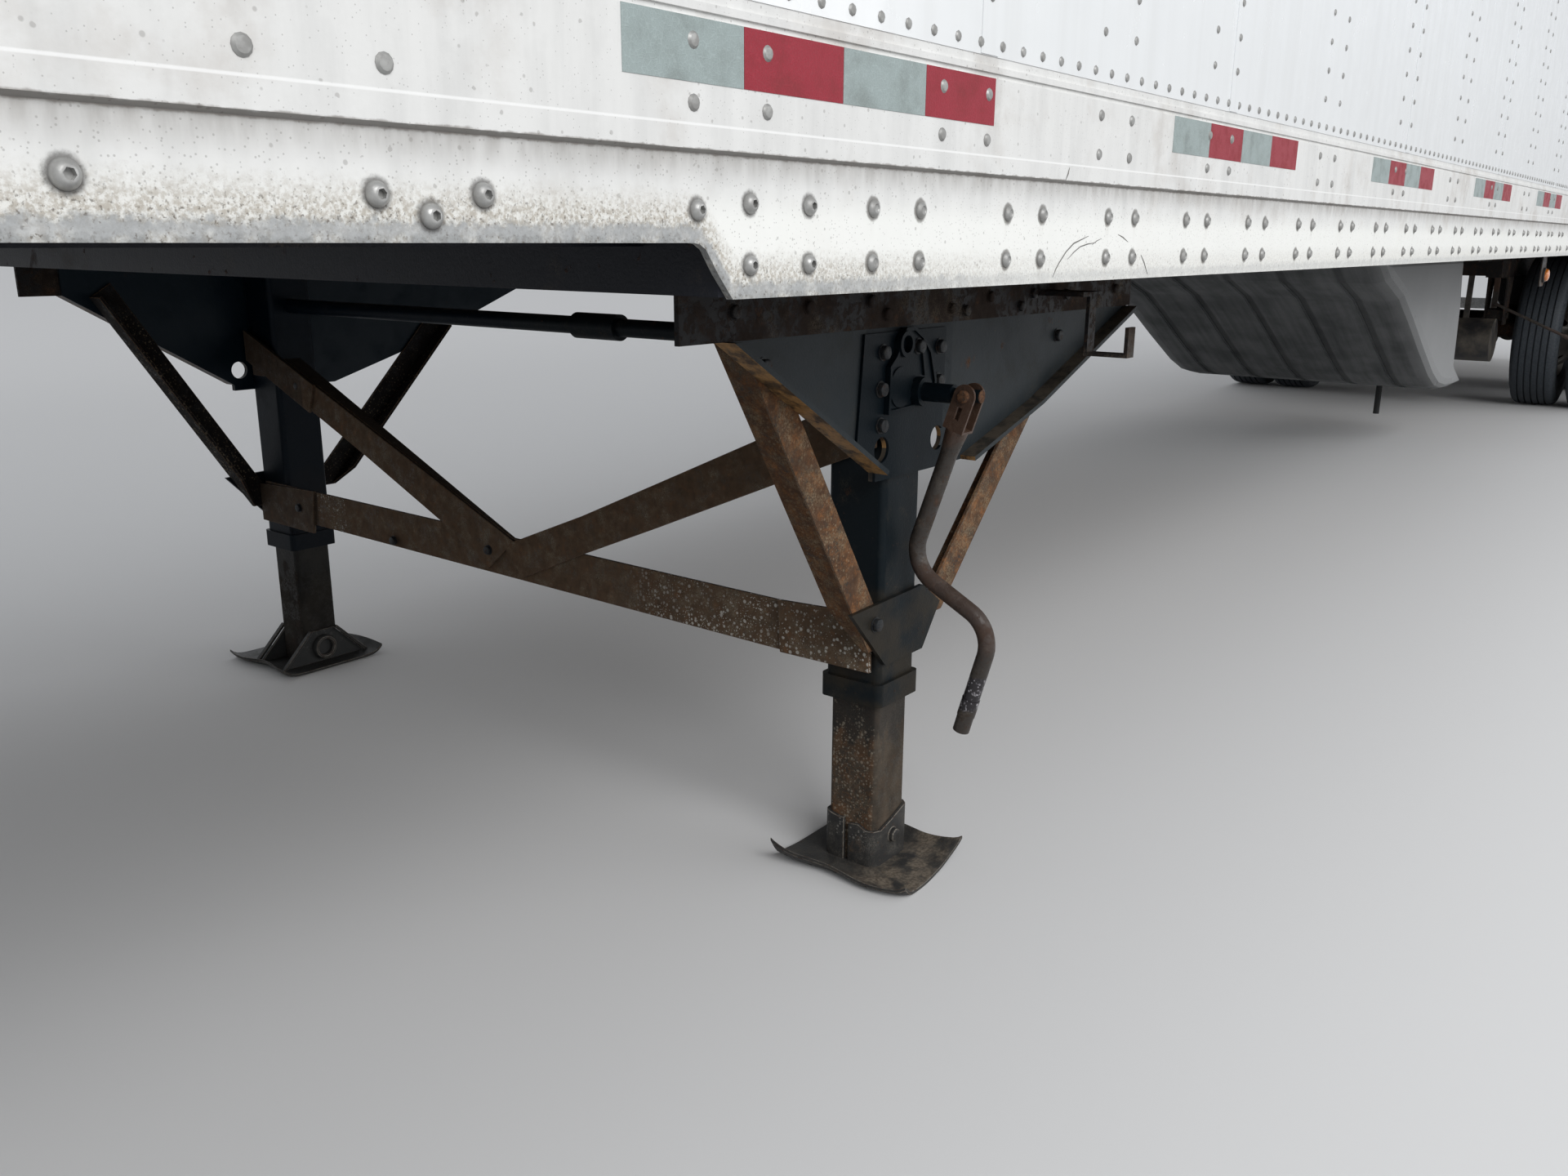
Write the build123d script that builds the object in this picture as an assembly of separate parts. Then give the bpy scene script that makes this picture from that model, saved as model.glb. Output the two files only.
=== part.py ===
from build123d import *
import math
import os

os.makedirs("parts", exist_ok=True)

# A dry van semi trailer, parked on its landing gear. Millimetres, +X to the nose, +Y to the left,
# +Z up, with the origin on the ground under the middle of the whole trailer.

# Overall size of the box
BODY_LENGTH = 16154.0
BODY_WIDTH = 2591.0
BODY_HEIGHT = 4110.0
END_REACH = 75.0  # what stands out past the box at each end: hose couplings, dock bumpers

# Heights of the body
RAIL_BOTTOM_Z = 1044.0
RAIL_FRONT_BOTTOM_Z = 1096.0
LEDGE_Z = 1174.0
RAIL_TOP_Z = 1309.0
FLOOR_BOTTOM_Z = 1155.0
FLOOR_THICK = 35.0
BEAM_DEPTH = 102.0
TOP_RAIL_DEPTH = 118.0

# Walls
FASTENER_ROOM = 4.0  # the overall width counts the heads of the rivets on the rails and sheets
WALL_THICK = 38.0
SHEET_INSET = 2.0
LEDGE_STEP = 6.0
SKIRT_THICK = 8.0
GROOVE_DEPTH = 3.0
GROOVE_HEIGHT = 6.0
FRONT_WALL_THICK = 45.0
CORNER_RADIUS = 110.0
ROOF_THICK = 12.0
BOW_DEPTH = 30.0
BOW_WIDTH = 40.0
BOW_PITCH = 610.0

# Cross members
BEAM_PITCH = 304.8
BEAM_FLANGE = 57.0
BEAM_SKIN = 5.0
FIRST_BEAM_X = 4973.0  # the beam whose bolts show over the landing gear
SKIRT_STEP_X = 5312.0  # where the rail's lower edge has risen, ahead of the landing gear

# Coupling
KINGPIN_SETBACK = 914.0
COUPLER_BOTTOM_Z = 1092.0
COUPLER_SKIN = 10.0
COUPLER_HALF_WIDTH = 1180.0
BOLSTER_THICK = 12.0
KINGPIN_NECK_R = 25.4
KINGPIN_HEAD_R = 35.7
KINGPIN_LENGTH = 84.0
KINGPIN_SHOULDER = 28.0
KINGPIN_HEAD = 19.0

# Rear frame and doors
POST_WIDTH = 75.0
POST_DEPTH = 100.0
HEADER_DEPTH = 150.0
DOOR_THICK = 50.0
DOOR_GAP = 5.0
DOOR_MEETING_GAP = 6.0
HINGE_BACK = 35.0
HINGE_PIN_R = 7.0
HINGE_PIN_GAP = 0.05
KNUCKLE_R = 11.0
HINGE_COUNT = 5
HINGE_END = 230.0  # from the door opening's lower and upper edge to the end hinges
STRAP_LENGTH = 190.0
STRAP_HEIGHT = 60.0
STRAP_THICK = 6.0
KNUCKLE_LENGTH = 40.0
KNUCKLE_GAP = 1.0
ROD_OFFSETS = (310.0, 900.0)  # from the hinge edge of the door
ROD_R = 13.0
ROD_STANDOFF = 22.0
HANDLE_LENGTH = 280.0
CAM_WIDTH = 40.0
KEEPER_GAP = 6.0
KEEPER_THICK = 10.0

# Landing gear
LEG_X = 4420.0
LEG_Y = 899.0
OUTER_TUBE = 114.0
LOWER_TUBE = 100.0
SLIDE_GAP = 0.3
TUBE_CORNER = 12.0
OUTER_BOTTOM_Z = 358.0
COLLAR = 127.0
COLLAR_BOTTOM_Z = 317.0
LEG_TOP_Z = 1045.0
LOWER_OVERLAP = 200.0
SHOE_SKIN = 8.0
SHOE_CURL = 24.0
WING_SKIN = 8.0
WING_FLANGE = 30.0
CHANNEL_SKIN = 8.0
CHANNEL_BOTTOM_Z = 966.0
CHANNEL_FLANGE = 70.0
CHANNEL_REAR_X = 3560.0
CHANNEL_FRONT_X = 4990.0
BAND_DEPTH = 87.0
BAND_Z = 400.0
BRACE_SKIN = 8.0
BRACE_LEG = 58.0
CROSS_SHAFT_Z = 930.0
CROSS_SHAFT_R = 17.5
CRANK_X = 4415.0
CRANK_R = 14.5
# The crank's corners as (y, z), from the pin of its yoke to its lower end
CRANK_PATH = ((1073.0, 859.0), (972.0, 565.0), (1138.0, 478.0), (1086.0, 289.0))
CRANK_BEND = 62.0
CRANK_FLARE = 44.0
GRIP_LENGTH = 34.0
GRIP_END = 30.0  # from the crank's end to the grip sleeve
INPUT_SHAFT_R = 15.5
INPUT_END_R = 10.5
INPUT_END_REACH = 22.0  # how far the shaft's end stands past the yoke's pin
INPUT_NECK = 28.0  # how far short of the pin its thick part stops
YOKE_WIDTH = 38.0
YOKE_GAP = 26.0
YOKE_SKIN = 4.5
YOKE_DEPTH = 60.0
YOKE_PIN_R = 6.0
YOKE_SLOT_R = 4.5

# Running gear
AXLE_SPREAD = 1245.0
FRONT_AXLE_SETBACK = 3947.0  # from the tail to the front axle
TYRE_R = 510.0
TYRE_WIDTH = 280.0
TWIN_SPACING = 337.0
TWIN_MIDDLE_Y = 981.5
RIM_R = 303.0
BEAD_GAP = 0.3
DISC_BORE_R = 110.0
DISC_SKIN = 12.0
DISC_OFFSET = 168.5
HAND_HOLES = 5
HAND_HOLE_R = 27.0
HAND_HOLE_PLACE = 218.0
AXLE_R = 63.5
SPINDLE_R = 40.0
SPINDLE_GAP = 0.05
FRAME_Y = 560.0
BODY_RAIL_DEPTH = 68.0
SLIDER_REACH = 800.0  # how far the slider frame stands ahead of the front axle
SLIDER_DEPTH = 110.0
ARM_HEIGHT = 100.0
AIR_SPRING_R = 115.0
AIR_SPRING_Y = 540.0

# Places that follow from the sizes
NOSE_X = BODY_LENGTH / 2
TAIL_X = -BODY_LENGTH / 2
HALF_WIDTH = BODY_WIDTH / 2
RAIL_Y = HALF_WIDTH - FASTENER_ROOM
SHEET_Y = RAIL_Y - SHEET_INSET
INNER_Y = SHEET_Y - WALL_THICK
SKIRT_OUTER_Y = RAIL_Y - LEDGE_STEP
SKIRT_INNER_Y = SKIRT_OUTER_Y - SKIRT_THICK
FLOOR_TOP_Z = FLOOR_BOTTOM_Z + FLOOR_THICK
BEAM_BOTTOM_Z = FLOOR_BOTTOM_Z - BEAM_DEPTH
TOP_RAIL_Z = BODY_HEIGHT - TOP_RAIL_DEPTH
ROOF_BOTTOM_Z = BODY_HEIGHT - ROOF_THICK
CORNER_X = NOSE_X - CORNER_RADIUS
FRAME_X = TAIL_X + POST_DEPTH
KINGPIN_X = NOSE_X - KINGPIN_SETBACK
FRONT_AXLE_X = TAIL_X + FRONT_AXLE_SETBACK
REAR_AXLE_X = FRONT_AXLE_X - AXLE_SPREAD
INPUT_SHAFT_Z = CRANK_PATH[0][1]


def block(x0, x1, y0, y1, z0, z1):
    return Pos((x0 + x1) / 2, (y0 + y1) / 2, (z0 + z1) / 2) * Box(abs(x1 - x0), abs(y1 - y0), abs(z1 - z0))


def outline(points):
    return make_face(Polyline(*points, close=True))


def side_plate(points, y0, y1):
    """A flat shape drawn as (x, z), standing along the trailer from y0 to y1."""
    return Pos(0, y1, 0) * extrude(Plane.XZ * outline(points), y1 - y0)


def cross_plate(points, x0, x1):
    """A flat shape drawn as (y, z), standing across the trailer from x0 to x1."""
    return Pos(x0, 0, 0) * extrude(Plane.YZ * outline(points), x1 - x0)


def flat_plate(points, z0, z1):
    """A flat shape drawn as (x, y), lying from z0 to z1."""
    return Pos(0, 0, z0) * extrude(Plane.XY * outline(points), z1 - z0)


def mirrored(shape):
    return mirror(shape, about=Plane.XZ)


def along_y(x, z, radius, y0, y1):
    return Pos(x, (y0 + y1) / 2, z) * Rot(90, 0, 0) * Cylinder(radius, abs(y1 - y0))


def along_x(y, z, radius, x0, x1):
    return Pos((x0 + x1) / 2, y, z) * Rot(0, 90, 0) * Cylinder(radius, abs(x1 - x0))


def turned_about_y(profile, x, z):
    """A ring from a (radius, y) outline, turned about a line along Y."""
    face = Plane.XY * outline(profile)
    return Pos(x, 0, z) * revolve(face, Axis.Y, 360)


def save(name, *shapes):
    shape = shapes[0] if len(shapes) == 1 else Compound(children=list(shapes))
    export_step(shape, f"parts/{name}.step")


# The box


def bottom_rail():
    """Side rail: a proud upper band with two grooves, over a skirt that carries the cross members."""
    groove_1 = RAIL_TOP_Z - 24.0
    groove_2 = RAIL_TOP_Z - 11.0
    cut_y = RAIL_Y - GROOVE_DEPTH
    section = [
        (SKIRT_OUTER_Y, RAIL_BOTTOM_Z),
        (SKIRT_OUTER_Y, LEDGE_Z),
        (RAIL_Y, LEDGE_Z + 3.0),
        (RAIL_Y, groove_1),
        (cut_y, groove_1),
        (cut_y, groove_1 + GROOVE_HEIGHT),
        (RAIL_Y, groove_1 + GROOVE_HEIGHT),
        (RAIL_Y, groove_2),
        (cut_y, groove_2),
        (cut_y, RAIL_TOP_Z),
        (INNER_Y, RAIL_TOP_Z),
        (INNER_Y, FLOOR_BOTTOM_Z),
        (SKIRT_INNER_Y, FLOOR_BOTTOM_Z),
        (SKIRT_INNER_Y, RAIL_BOTTOM_Z),
    ]
    rail = cross_plate(section, FRAME_X, CORNER_X)
    notch = [
        (SKIRT_STEP_X - 56.0, RAIL_BOTTOM_Z - 1.0),
        (SKIRT_STEP_X - 34.0, RAIL_BOTTOM_Z + 23.5),
        (SKIRT_STEP_X - 17.0, RAIL_BOTTOM_Z + 46.0),
        (SKIRT_STEP_X - 8.0, RAIL_FRONT_BOTTOM_Z - 1.0),
        (SKIRT_STEP_X, RAIL_FRONT_BOTTOM_Z),
        (CORNER_X + 1.0, RAIL_FRONT_BOTTOM_Z),
        (CORNER_X + 1.0, RAIL_BOTTOM_Z - 1.0),
    ]
    return rail - side_plate(notch, SKIRT_INNER_Y - 1.0, SKIRT_OUTER_Y + 1.0)


def side_wall():
    return block(FRAME_X, CORNER_X, INNER_Y, SHEET_Y, RAIL_TOP_Z, TOP_RAIL_Z)


def top_rail():
    lip_y = INNER_Y - 50.0
    section = [
        (INNER_Y, TOP_RAIL_Z),
        (SHEET_Y, TOP_RAIL_Z),
        (SHEET_Y + 1.0, TOP_RAIL_Z + 4.0),
        (SHEET_Y + 1.0, BODY_HEIGHT - 20.0),
        (SHEET_Y - 12.0, BODY_HEIGHT - 4.0),
        (SHEET_Y - 30.0, BODY_HEIGHT),
        (lip_y, BODY_HEIGHT),
        (lip_y, ROOF_BOTTOM_Z),
        (INNER_Y, ROOF_BOTTOM_Z),
    ]
    return cross_plate(section, FRAME_X, CORNER_X)


def roof():
    half = INNER_Y - 50.0
    front = CORNER_X
    nose_half = SHEET_Y - CORNER_RADIUS
    sheet = block(FRAME_X, front, -half, half, ROOF_BOTTOM_Z, BODY_HEIGHT)
    sheet += block(front, NOSE_X - FRONT_WALL_THICK, -nose_half, nose_half, ROOF_BOTTOM_Z, BODY_HEIGHT)
    count = int((front - FRAME_X) // BOW_PITCH)
    start = (front + FRAME_X - (count - 1) * BOW_PITCH) / 2
    for i in range(count):
        x = start + i * BOW_PITCH
        sheet += block(x - BOW_WIDTH / 2, x + BOW_WIDTH / 2, -half, half, ROOF_BOTTOM_Z - BOW_DEPTH, ROOF_BOTTOM_Z)
    return sheet


def front_wall():
    half = SHEET_Y - CORNER_RADIUS
    return block(NOSE_X - FRONT_WALL_THICK, NOSE_X, -half, half, RAIL_FRONT_BOTTOM_Z, BODY_HEIGHT)


def front_corner_post():
    inner_r = CORNER_RADIUS - FRONT_WALL_THICK
    centre = (CORNER_X, SHEET_Y - CORNER_RADIUS)
    ring = Circle(CORNER_RADIUS) - Circle(inner_r)
    corner = Pos(CORNER_RADIUS, CORNER_RADIUS) * Rectangle(2 * CORNER_RADIUS, 2 * CORNER_RADIUS)
    quarter = Pos(*centre) * (ring & corner)
    post = Pos(0, 0, RAIL_FRONT_BOTTOM_Z) * extrude(quarter, BODY_HEIGHT - RAIL_FRONT_BOTTOM_Z)
    lid = Pos(*centre) * (Circle(CORNER_RADIUS) & corner)
    post += Pos(0, 0, BODY_HEIGHT - ROOF_THICK) * extrude(lid, ROOF_THICK)
    return post + Pos(0, 0, FLOOR_BOTTOM_Z) * extrude(lid, FLOOR_THICK)


def floor():
    nose_half = SHEET_Y - CORNER_RADIUS
    boards = block(FRAME_X, CORNER_X, -INNER_Y, INNER_Y, FLOOR_BOTTOM_Z, FLOOR_TOP_Z)
    return boards + block(CORNER_X, NOSE_X - FRONT_WALL_THICK, -nose_half, nose_half, FLOOR_BOTTOM_Z, FLOOR_TOP_Z)


def cross_members():
    half_web = BEAM_SKIN / 2
    half_flange = BEAM_FLANGE / 2
    z0, z1 = BEAM_BOTTOM_Z, FLOOR_BOTTOM_Z
    i_section = [
        (-half_flange, z0),
        (half_flange, z0),
        (half_flange, z0 + BEAM_SKIN),
        (half_web, z0 + BEAM_SKIN),
        (half_web, z1 - BEAM_SKIN),
        (half_flange, z1 - BEAM_SKIN),
        (half_flange, z1),
        (-half_flange, z1),
        (-half_flange, z1 - BEAM_SKIN),
        (-half_web, z1 - BEAM_SKIN),
        (-half_web, z0 + BEAM_SKIN),
        (-half_flange, z0 + BEAM_SKIN),
    ]
    beam = side_plate(i_section, -SKIRT_INNER_Y, SKIRT_INNER_Y)
    count = int((FIRST_BEAM_X - FRAME_X - BEAM_FLANGE) // BEAM_PITCH) + 1
    return [Pos(FIRST_BEAM_X - i * BEAM_PITCH, 0, 0) * beam for i in range(count)]


def upper_coupler():
    """Plate under the nose with its cross channels, closed behind by a deep bolster."""
    rear = SKIRT_STEP_X - 43.0
    front = CORNER_X
    plate = block(rear, front, -COUPLER_HALF_WIDTH, COUPLER_HALF_WIDTH, COUPLER_BOTTOM_Z, COUPLER_BOTTOM_Z + COUPLER_SKIN)
    toe = [
        (front, COUPLER_BOTTOM_Z),
        (NOSE_X - FRONT_WALL_THICK, FLOOR_BOTTOM_Z - COUPLER_SKIN),
        (NOSE_X - FRONT_WALL_THICK, FLOOR_BOTTOM_Z),
        (front, COUPLER_BOTTOM_Z + COUPLER_SKIN),
    ]
    plate += side_plate(toe, -COUPLER_HALF_WIDTH, COUPLER_HALF_WIDTH)
    plate += block(rear - BOLSTER_THICK, rear, -SKIRT_INNER_Y, SKIRT_INNER_Y, RAIL_BOTTOM_Z + 2.0, FLOOR_BOTTOM_Z)
    count = int((front - rear) // BEAM_PITCH)
    for i in range(1, count + 1):
        x = rear + i * (front - rear) / (count + 1)
        plate += block(x, x + 2 * BEAM_SKIN, -SKIRT_INNER_Y, SKIRT_INNER_Y, COUPLER_BOTTOM_Z + COUPLER_SKIN, FLOOR_BOTTOM_Z)
    return plate


def kingpin():
    top = COUPLER_BOTTOM_Z
    bottom = top - KINGPIN_LENGTH
    neck_top = top - KINGPIN_SHOULDER
    neck_bottom = bottom + KINGPIN_HEAD
    profile = [
        (0.0, bottom),
        (KINGPIN_HEAD_R - 4.0, bottom),
        (KINGPIN_HEAD_R, bottom + 4.0),
        (KINGPIN_HEAD_R, neck_bottom),
        (KINGPIN_NECK_R, neck_bottom),
        (KINGPIN_NECK_R, neck_top),
        (KINGPIN_HEAD_R + 1.0, neck_top),
        (KINGPIN_HEAD_R + 1.0, top),
        (0.0, top),
    ]
    return Pos(KINGPIN_X, 0, 0) * revolve(Plane.XZ * outline(profile), Axis.Z, 360)


# Rear frame


def rear_post():
    y0 = HALF_WIDTH - POST_WIDTH
    return block(TAIL_X, FRAME_X, y0, HALF_WIDTH, RAIL_BOTTOM_Z, BODY_HEIGHT)


def rear_header():
    y = HALF_WIDTH - POST_WIDTH
    bar = block(TAIL_X, FRAME_X, -y, y, BODY_HEIGHT - HEADER_DEPTH, BODY_HEIGHT)
    return bar + keepers(BODY_HEIGHT - HEADER_DEPTH + 12.0, BODY_HEIGHT - HEADER_DEPTH + 62.0)


def rear_sill():
    y = HALF_WIDTH - POST_WIDTH
    bar = block(TAIL_X, FRAME_X, -y, y, RAIL_BOTTOM_Z, FLOOR_TOP_Z)
    return bar + keepers(FLOOR_TOP_Z - 62.0, FLOOR_TOP_Z - 12.0)


def keepers(z0, z1):
    """Lugs on each side of every lock rod cam, open to the rear so that the cams swing out."""
    lugs = []
    reach = ROD_STANDOFF + ROD_R
    for side in (-1, 1):
        for offset in ROD_OFFSETS:
            y = side * (door_edge_y() - offset)
            for way in (-1, 1):
                inner = y + way * (CAM_WIDTH / 2 + KEEPER_GAP)
                lugs.append(block(TAIL_X - reach, TAIL_X, inner, inner + way * KEEPER_THICK, z0, z1))
    return lugs


def door_edge_y():
    return HALF_WIDTH - POST_WIDTH - DOOR_GAP


def rear_guard():
    bar_z, bar_h, bar_t = 470.0, 100.0, 100.0
    half = HALF_WIDTH - 100.0
    x1 = TAIL_X + bar_t + 20.0
    bar = block(TAIL_X + 20.0, x1, -half, half, bar_z, bar_z + bar_h)
    for y in (-FRAME_Y, FRAME_Y):
        bar += block(TAIL_X + 20.0, x1, y - 40.0, y + 40.0, bar_z + bar_h, RAIL_BOTTOM_Z)
        stay = [
            (x1, 600.0),
            (x1 + 520.0, BEAM_BOTTOM_Z),
            (x1 + 440.0, BEAM_BOTTOM_Z),
            (x1, 690.0),
        ]
        bar += side_plate(stay, y - 30.0, y + 30.0)
    return bar


def dock_bumper():
    y = HALF_WIDTH - POST_WIDTH
    return block(TAIL_X - END_REACH, TAIL_X, y - 250.0, y, RAIL_BOTTOM_Z + 6.0, RAIL_BOTTOM_Z + 70.0)


# Doors


def hinge_heights():
    low = FLOOR_TOP_Z + HINGE_END
    high = BODY_HEIGHT - HEADER_DEPTH - HINGE_END
    return [low + i * (high - low) / (HINGE_COUNT - 1) for i in range(HINGE_COUNT)]


def hinge_place():
    """The pin's (x, y): behind the doors' outer face and just inside the overall width."""
    return TAIL_X - HINGE_BACK, HALF_WIDTH - KNUCKLE_R


def door_panel():
    z0 = FLOOR_TOP_Z + DOOR_GAP
    z1 = BODY_HEIGHT - HEADER_DEPTH - DOOR_GAP
    return block(TAIL_X, TAIL_X + DOOR_THICK, DOOR_MEETING_GAP / 2, door_edge_y(), z0, z1)


def lock_rod(y, way):
    """Rod with its cams, brackets and handle, which lies level and points way along y."""
    x = TAIL_X - ROD_STANDOFF
    z0 = FLOOR_TOP_Z - 55.0
    z1 = BODY_HEIGHT - HEADER_DEPTH + 55.0
    rod = Pos(x, y, (z0 + z1) / 2) * Cylinder(ROD_R, z1 - z0)
    for z in (z0, z1 - 30.0):
        rod += block(x - ROD_R, x + ROD_R, y - CAM_WIDTH / 2, y + CAM_WIDTH / 2, z, z + 30.0)
    for z in (z0 + 180.0, (z0 + z1) / 2, z1 - 210.0):
        rod += block(x - ROD_R - 4.0, TAIL_X, y - 30.0, y + 30.0, z, z + 60.0)
    handle_z = FLOOR_TOP_Z + 260.0
    return rod + block(x - ROD_R - 4.0, x, y, y + way * HANDLE_LENGTH, handle_z, handle_z + 28.0)


# The bent end of a hinge strap as (behind the pin, inboard of the pin)
STRAP_BEND = (
    (5.0, 9.0),
    (-15.0, 36.0),
    (-23.0, 62.0),
    (-29.0, 78.0),
    (-35.0, 78.0),
    (-35.0, 70.0),
    (-30.0, 66.0),
    (-21.0, 42.0),
    (-6.0, 9.0),
)


def hinge_strap(z):
    x, y = hinge_place()
    strap = block(TAIL_X - STRAP_THICK, TAIL_X, y - STRAP_LENGTH, door_edge_y(), z, z + STRAP_HEIGHT)
    bend = [(x - back, y - inboard) for back, inboard in STRAP_BEND]
    middle = Pos(x, y, z + STRAP_HEIGHT / 2)
    barrel = middle * Cylinder(KNUCKLE_R, STRAP_HEIGHT)
    bore = middle * Cylinder(HINGE_PIN_R + HINGE_PIN_GAP, STRAP_HEIGHT + 2.0)
    return strap + flat_plate(bend, z, z + STRAP_HEIGHT) + barrel - bore


def door_hardware():
    outer, inner = ROD_OFFSETS
    pieces = [lock_rod(door_edge_y() - outer, -1), lock_rod(door_edge_y() - inner, 1)]
    pieces += [hinge_strap(z) for z in hinge_heights()]
    return pieces


def hinge_butts():
    """Lugs on the post, above and below each strap's knuckle."""
    x, y = hinge_place()
    lugs = []
    for z in hinge_heights():
        for z0 in (z - KNUCKLE_GAP - KNUCKLE_LENGTH, z + STRAP_HEIGHT + KNUCKLE_GAP):
            z1 = z0 + KNUCKLE_LENGTH
            lug = Pos(x, y, (z0 + z1) / 2) * Cylinder(KNUCKLE_R, KNUCKLE_LENGTH)
            lug += block(x, TAIL_X, y - KNUCKLE_R, y + KNUCKLE_R, z0, z1)
            lugs.append(lug)
        reach = STRAP_HEIGHT / 2 + KNUCKLE_GAP + KNUCKLE_LENGTH / 2
        lugs.append(Pos(x, y, z + STRAP_HEIGHT / 2) * Cylinder(HINGE_PIN_R, 2 * reach))
    return lugs


# Landing gear


def square_tube(size, wall, x, y, z0, z1):
    section = RectangleRounded(size, size, TUBE_CORNER)
    if wall:
        inner = size - 2 * wall
        section -= RectangleRounded(inner, inner, TUBE_CORNER - wall / 2)
    return Pos(x, y, z0) * extrude(section, z1 - z0)


def landing_leg():
    """Outer tube with the collar that guides the lower tube."""
    wall = (OUTER_TUBE - LOWER_TUBE) / 2 - SLIDE_GAP
    tube = square_tube(OUTER_TUBE, wall, LEG_X, LEG_Y, COLLAR_BOTTOM_Z, LEG_TOP_Z)
    collar_wall = (COLLAR - LOWER_TUBE) / 2 - SLIDE_GAP
    return tube + square_tube(COLLAR, collar_wall, LEG_X, LEG_Y, COLLAR_BOTTOM_Z, OUTER_BOTTOM_Z)


def lower_leg():
    return square_tube(LOWER_TUBE, 0, LEG_X, LEG_Y, SHOE_SKIN, COLLAR_BOTTOM_Z + LOWER_OVERLAP)


def shoe_plate(y, half_x, half_y):
    """Pressed foot whose front and rear edges curl up."""
    x = LEG_X
    points = [
        (x - half_x, SHOE_CURL),
        (x - half_x + 18.0, 5.0),
        (x - half_x + 38.0, 0.0),
        (x + half_x - 38.0, 0.0),
        (x + half_x - 18.0, 5.0),
        (x + half_x, SHOE_CURL),
        (x + half_x - 5.0, SHOE_CURL + SHOE_SKIN),
        (x + half_x - 22.0, 5.0 + SHOE_SKIN),
        (x + half_x - 40.0, SHOE_SKIN),
        (x - half_x + 40.0, SHOE_SKIN),
        (x - half_x + 22.0, 5.0 + SHOE_SKIN),
        (x - half_x + 5.0, SHOE_CURL + SHOE_SKIN),
    ]
    return side_plate(points, y - half_y, y + half_y)


def shoe_with_socket():
    """Left foot: a folded socket round the leg, open at the front."""
    plate = shoe_plate(LEG_Y + 10.0, 125.0, 150.0)
    half = LOWER_TUBE / 2
    wall = 8.0
    z1 = 96.0
    x, y = LEG_X, LEG_Y
    for side in (-1, 1):
        inner = y + side * half
        plate += block(x - half - wall, x + half, inner, inner + side * wall, SHOE_SKIN, z1)
        plate += block(x + half, x + half + wall, inner + side * wall, y + side * 3.0, SHOE_SKIN, z1)
    plate += block(x - half - wall, x - half, y - half, y + half, SHOE_SKIN, z1)
    web = [
        (x - half - wall, SHOE_SKIN),
        (x - half - wall, z1 - 20.0),
        (x - half - wall - 45.0, SHOE_SKIN),
    ]
    plate += side_plate(web, y - 40.0, y - 32.0)
    return plate + along_y(x, 62.0, 11.0, y + half + wall, y + half + wall + 10.0)


EAR_BASE = 118.0
EAR_TOP = 32.0
EAR_TOP_Z = 92.0
EAR_SKIN = 7.0
EAR_LIP = 22.0
EAR_BOSS_R = 31.0
EAR_HOLE_R = 20.0
EAR_BOSS_Z = 46.0


def shoe_ear(way):
    """Trapezoid ear beside the leg, its sloping edges bent inwards, with a ring boss; way is its side."""
    x = LEG_X
    inner = way * LOWER_TUBE / 2
    outer = inner + way * EAR_SKIN
    lip = inner - way * EAR_LIP
    shape = [(x - EAR_BASE, SHOE_SKIN), (x + EAR_BASE, SHOE_SKIN), (x + EAR_TOP, EAR_TOP_Z), (x - EAR_TOP, EAR_TOP_Z)]
    ear = side_plate(shape, min(inner, outer), max(inner, outer))
    clear = LOWER_TUBE / 2 + SLIDE_GAP
    for side in (-1, 1):
        slope = (EAR_TOP_Z - SHOE_SKIN) / (EAR_BASE - EAR_TOP)
        top_z = SHOE_SKIN + (EAR_BASE - clear) * slope
        fold = [
            (x + side * EAR_BASE, SHOE_SKIN),
            (x + side * clear, top_z),
            (x + side * clear, top_z - EAR_SKIN),
            (x + side * (EAR_BASE - EAR_SKIN / slope), SHOE_SKIN),
        ]
        ear += side_plate(fold, min(lip, inner), max(lip, inner))
    boss_end = outer + way * 2 * EAR_SKIN
    ear += along_y(x, EAR_BOSS_Z, EAR_BOSS_R, outer, boss_end)
    return ear - along_y(x, EAR_BOSS_Z, EAR_HOLE_R, inner, boss_end + way)


def shoe_with_ears():
    """Right foot: a flat plate with an ear on each side of the leg."""
    plate = shoe_plate(-LEG_Y - 30.0, 145.0, 140.0)
    for way in (-1, 1):
        plate += Pos(0, -LEG_Y, 0) * shoe_ear(way)
    return plate


WING_OUTLINE = (
    (4905.0, 966.0),
    (4525.0, 736.0),
    (4525.0, 722.0),
    (4242.0, 722.0),
    (3985.0, 798.0),
    (3570.0, 958.0),
    (3570.0, 1030.0),
    (4905.0, 1030.0),
)

# The sloping edges that carry a flange, each as the numbers of its two corners in the outline
WING_SLOPES = ((0, 1), (3, 4), (4, 5))
WING_HOLES = (4336.0, 4508.0)
WING_HOLE_Z = 772.0
WING_HOLE_R = 21.0


def wing_face_y():
    return LEG_Y + OUTER_TUBE / 2


def wing_flange(start, end):
    """Flange bent outwards along one sloping edge of the wing plate, stopped below the channel."""
    (xa, za), (xb, zb) = WING_OUTLINE[start], WING_OUTLINE[end]
    run = math.hypot(xb - xa, zb - za)
    nx, nz = (zb - za) / run * WING_SKIN, (xb - xa) / run * WING_SKIN
    strip = [(xa, za), (xb, zb), (xb + nx, zb - nz), (xa + nx, za - nz)]
    y0 = wing_face_y() + WING_SKIN
    flange = side_plate(strip, y0, y0 + WING_FLANGE)
    return flange - block(xa - 2 * WING_SKIN, xa + 2 * WING_SKIN, y0, y0 + WING_FLANGE, CHANNEL_BOTTOM_Z, BEAM_BOTTOM_Z)


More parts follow.
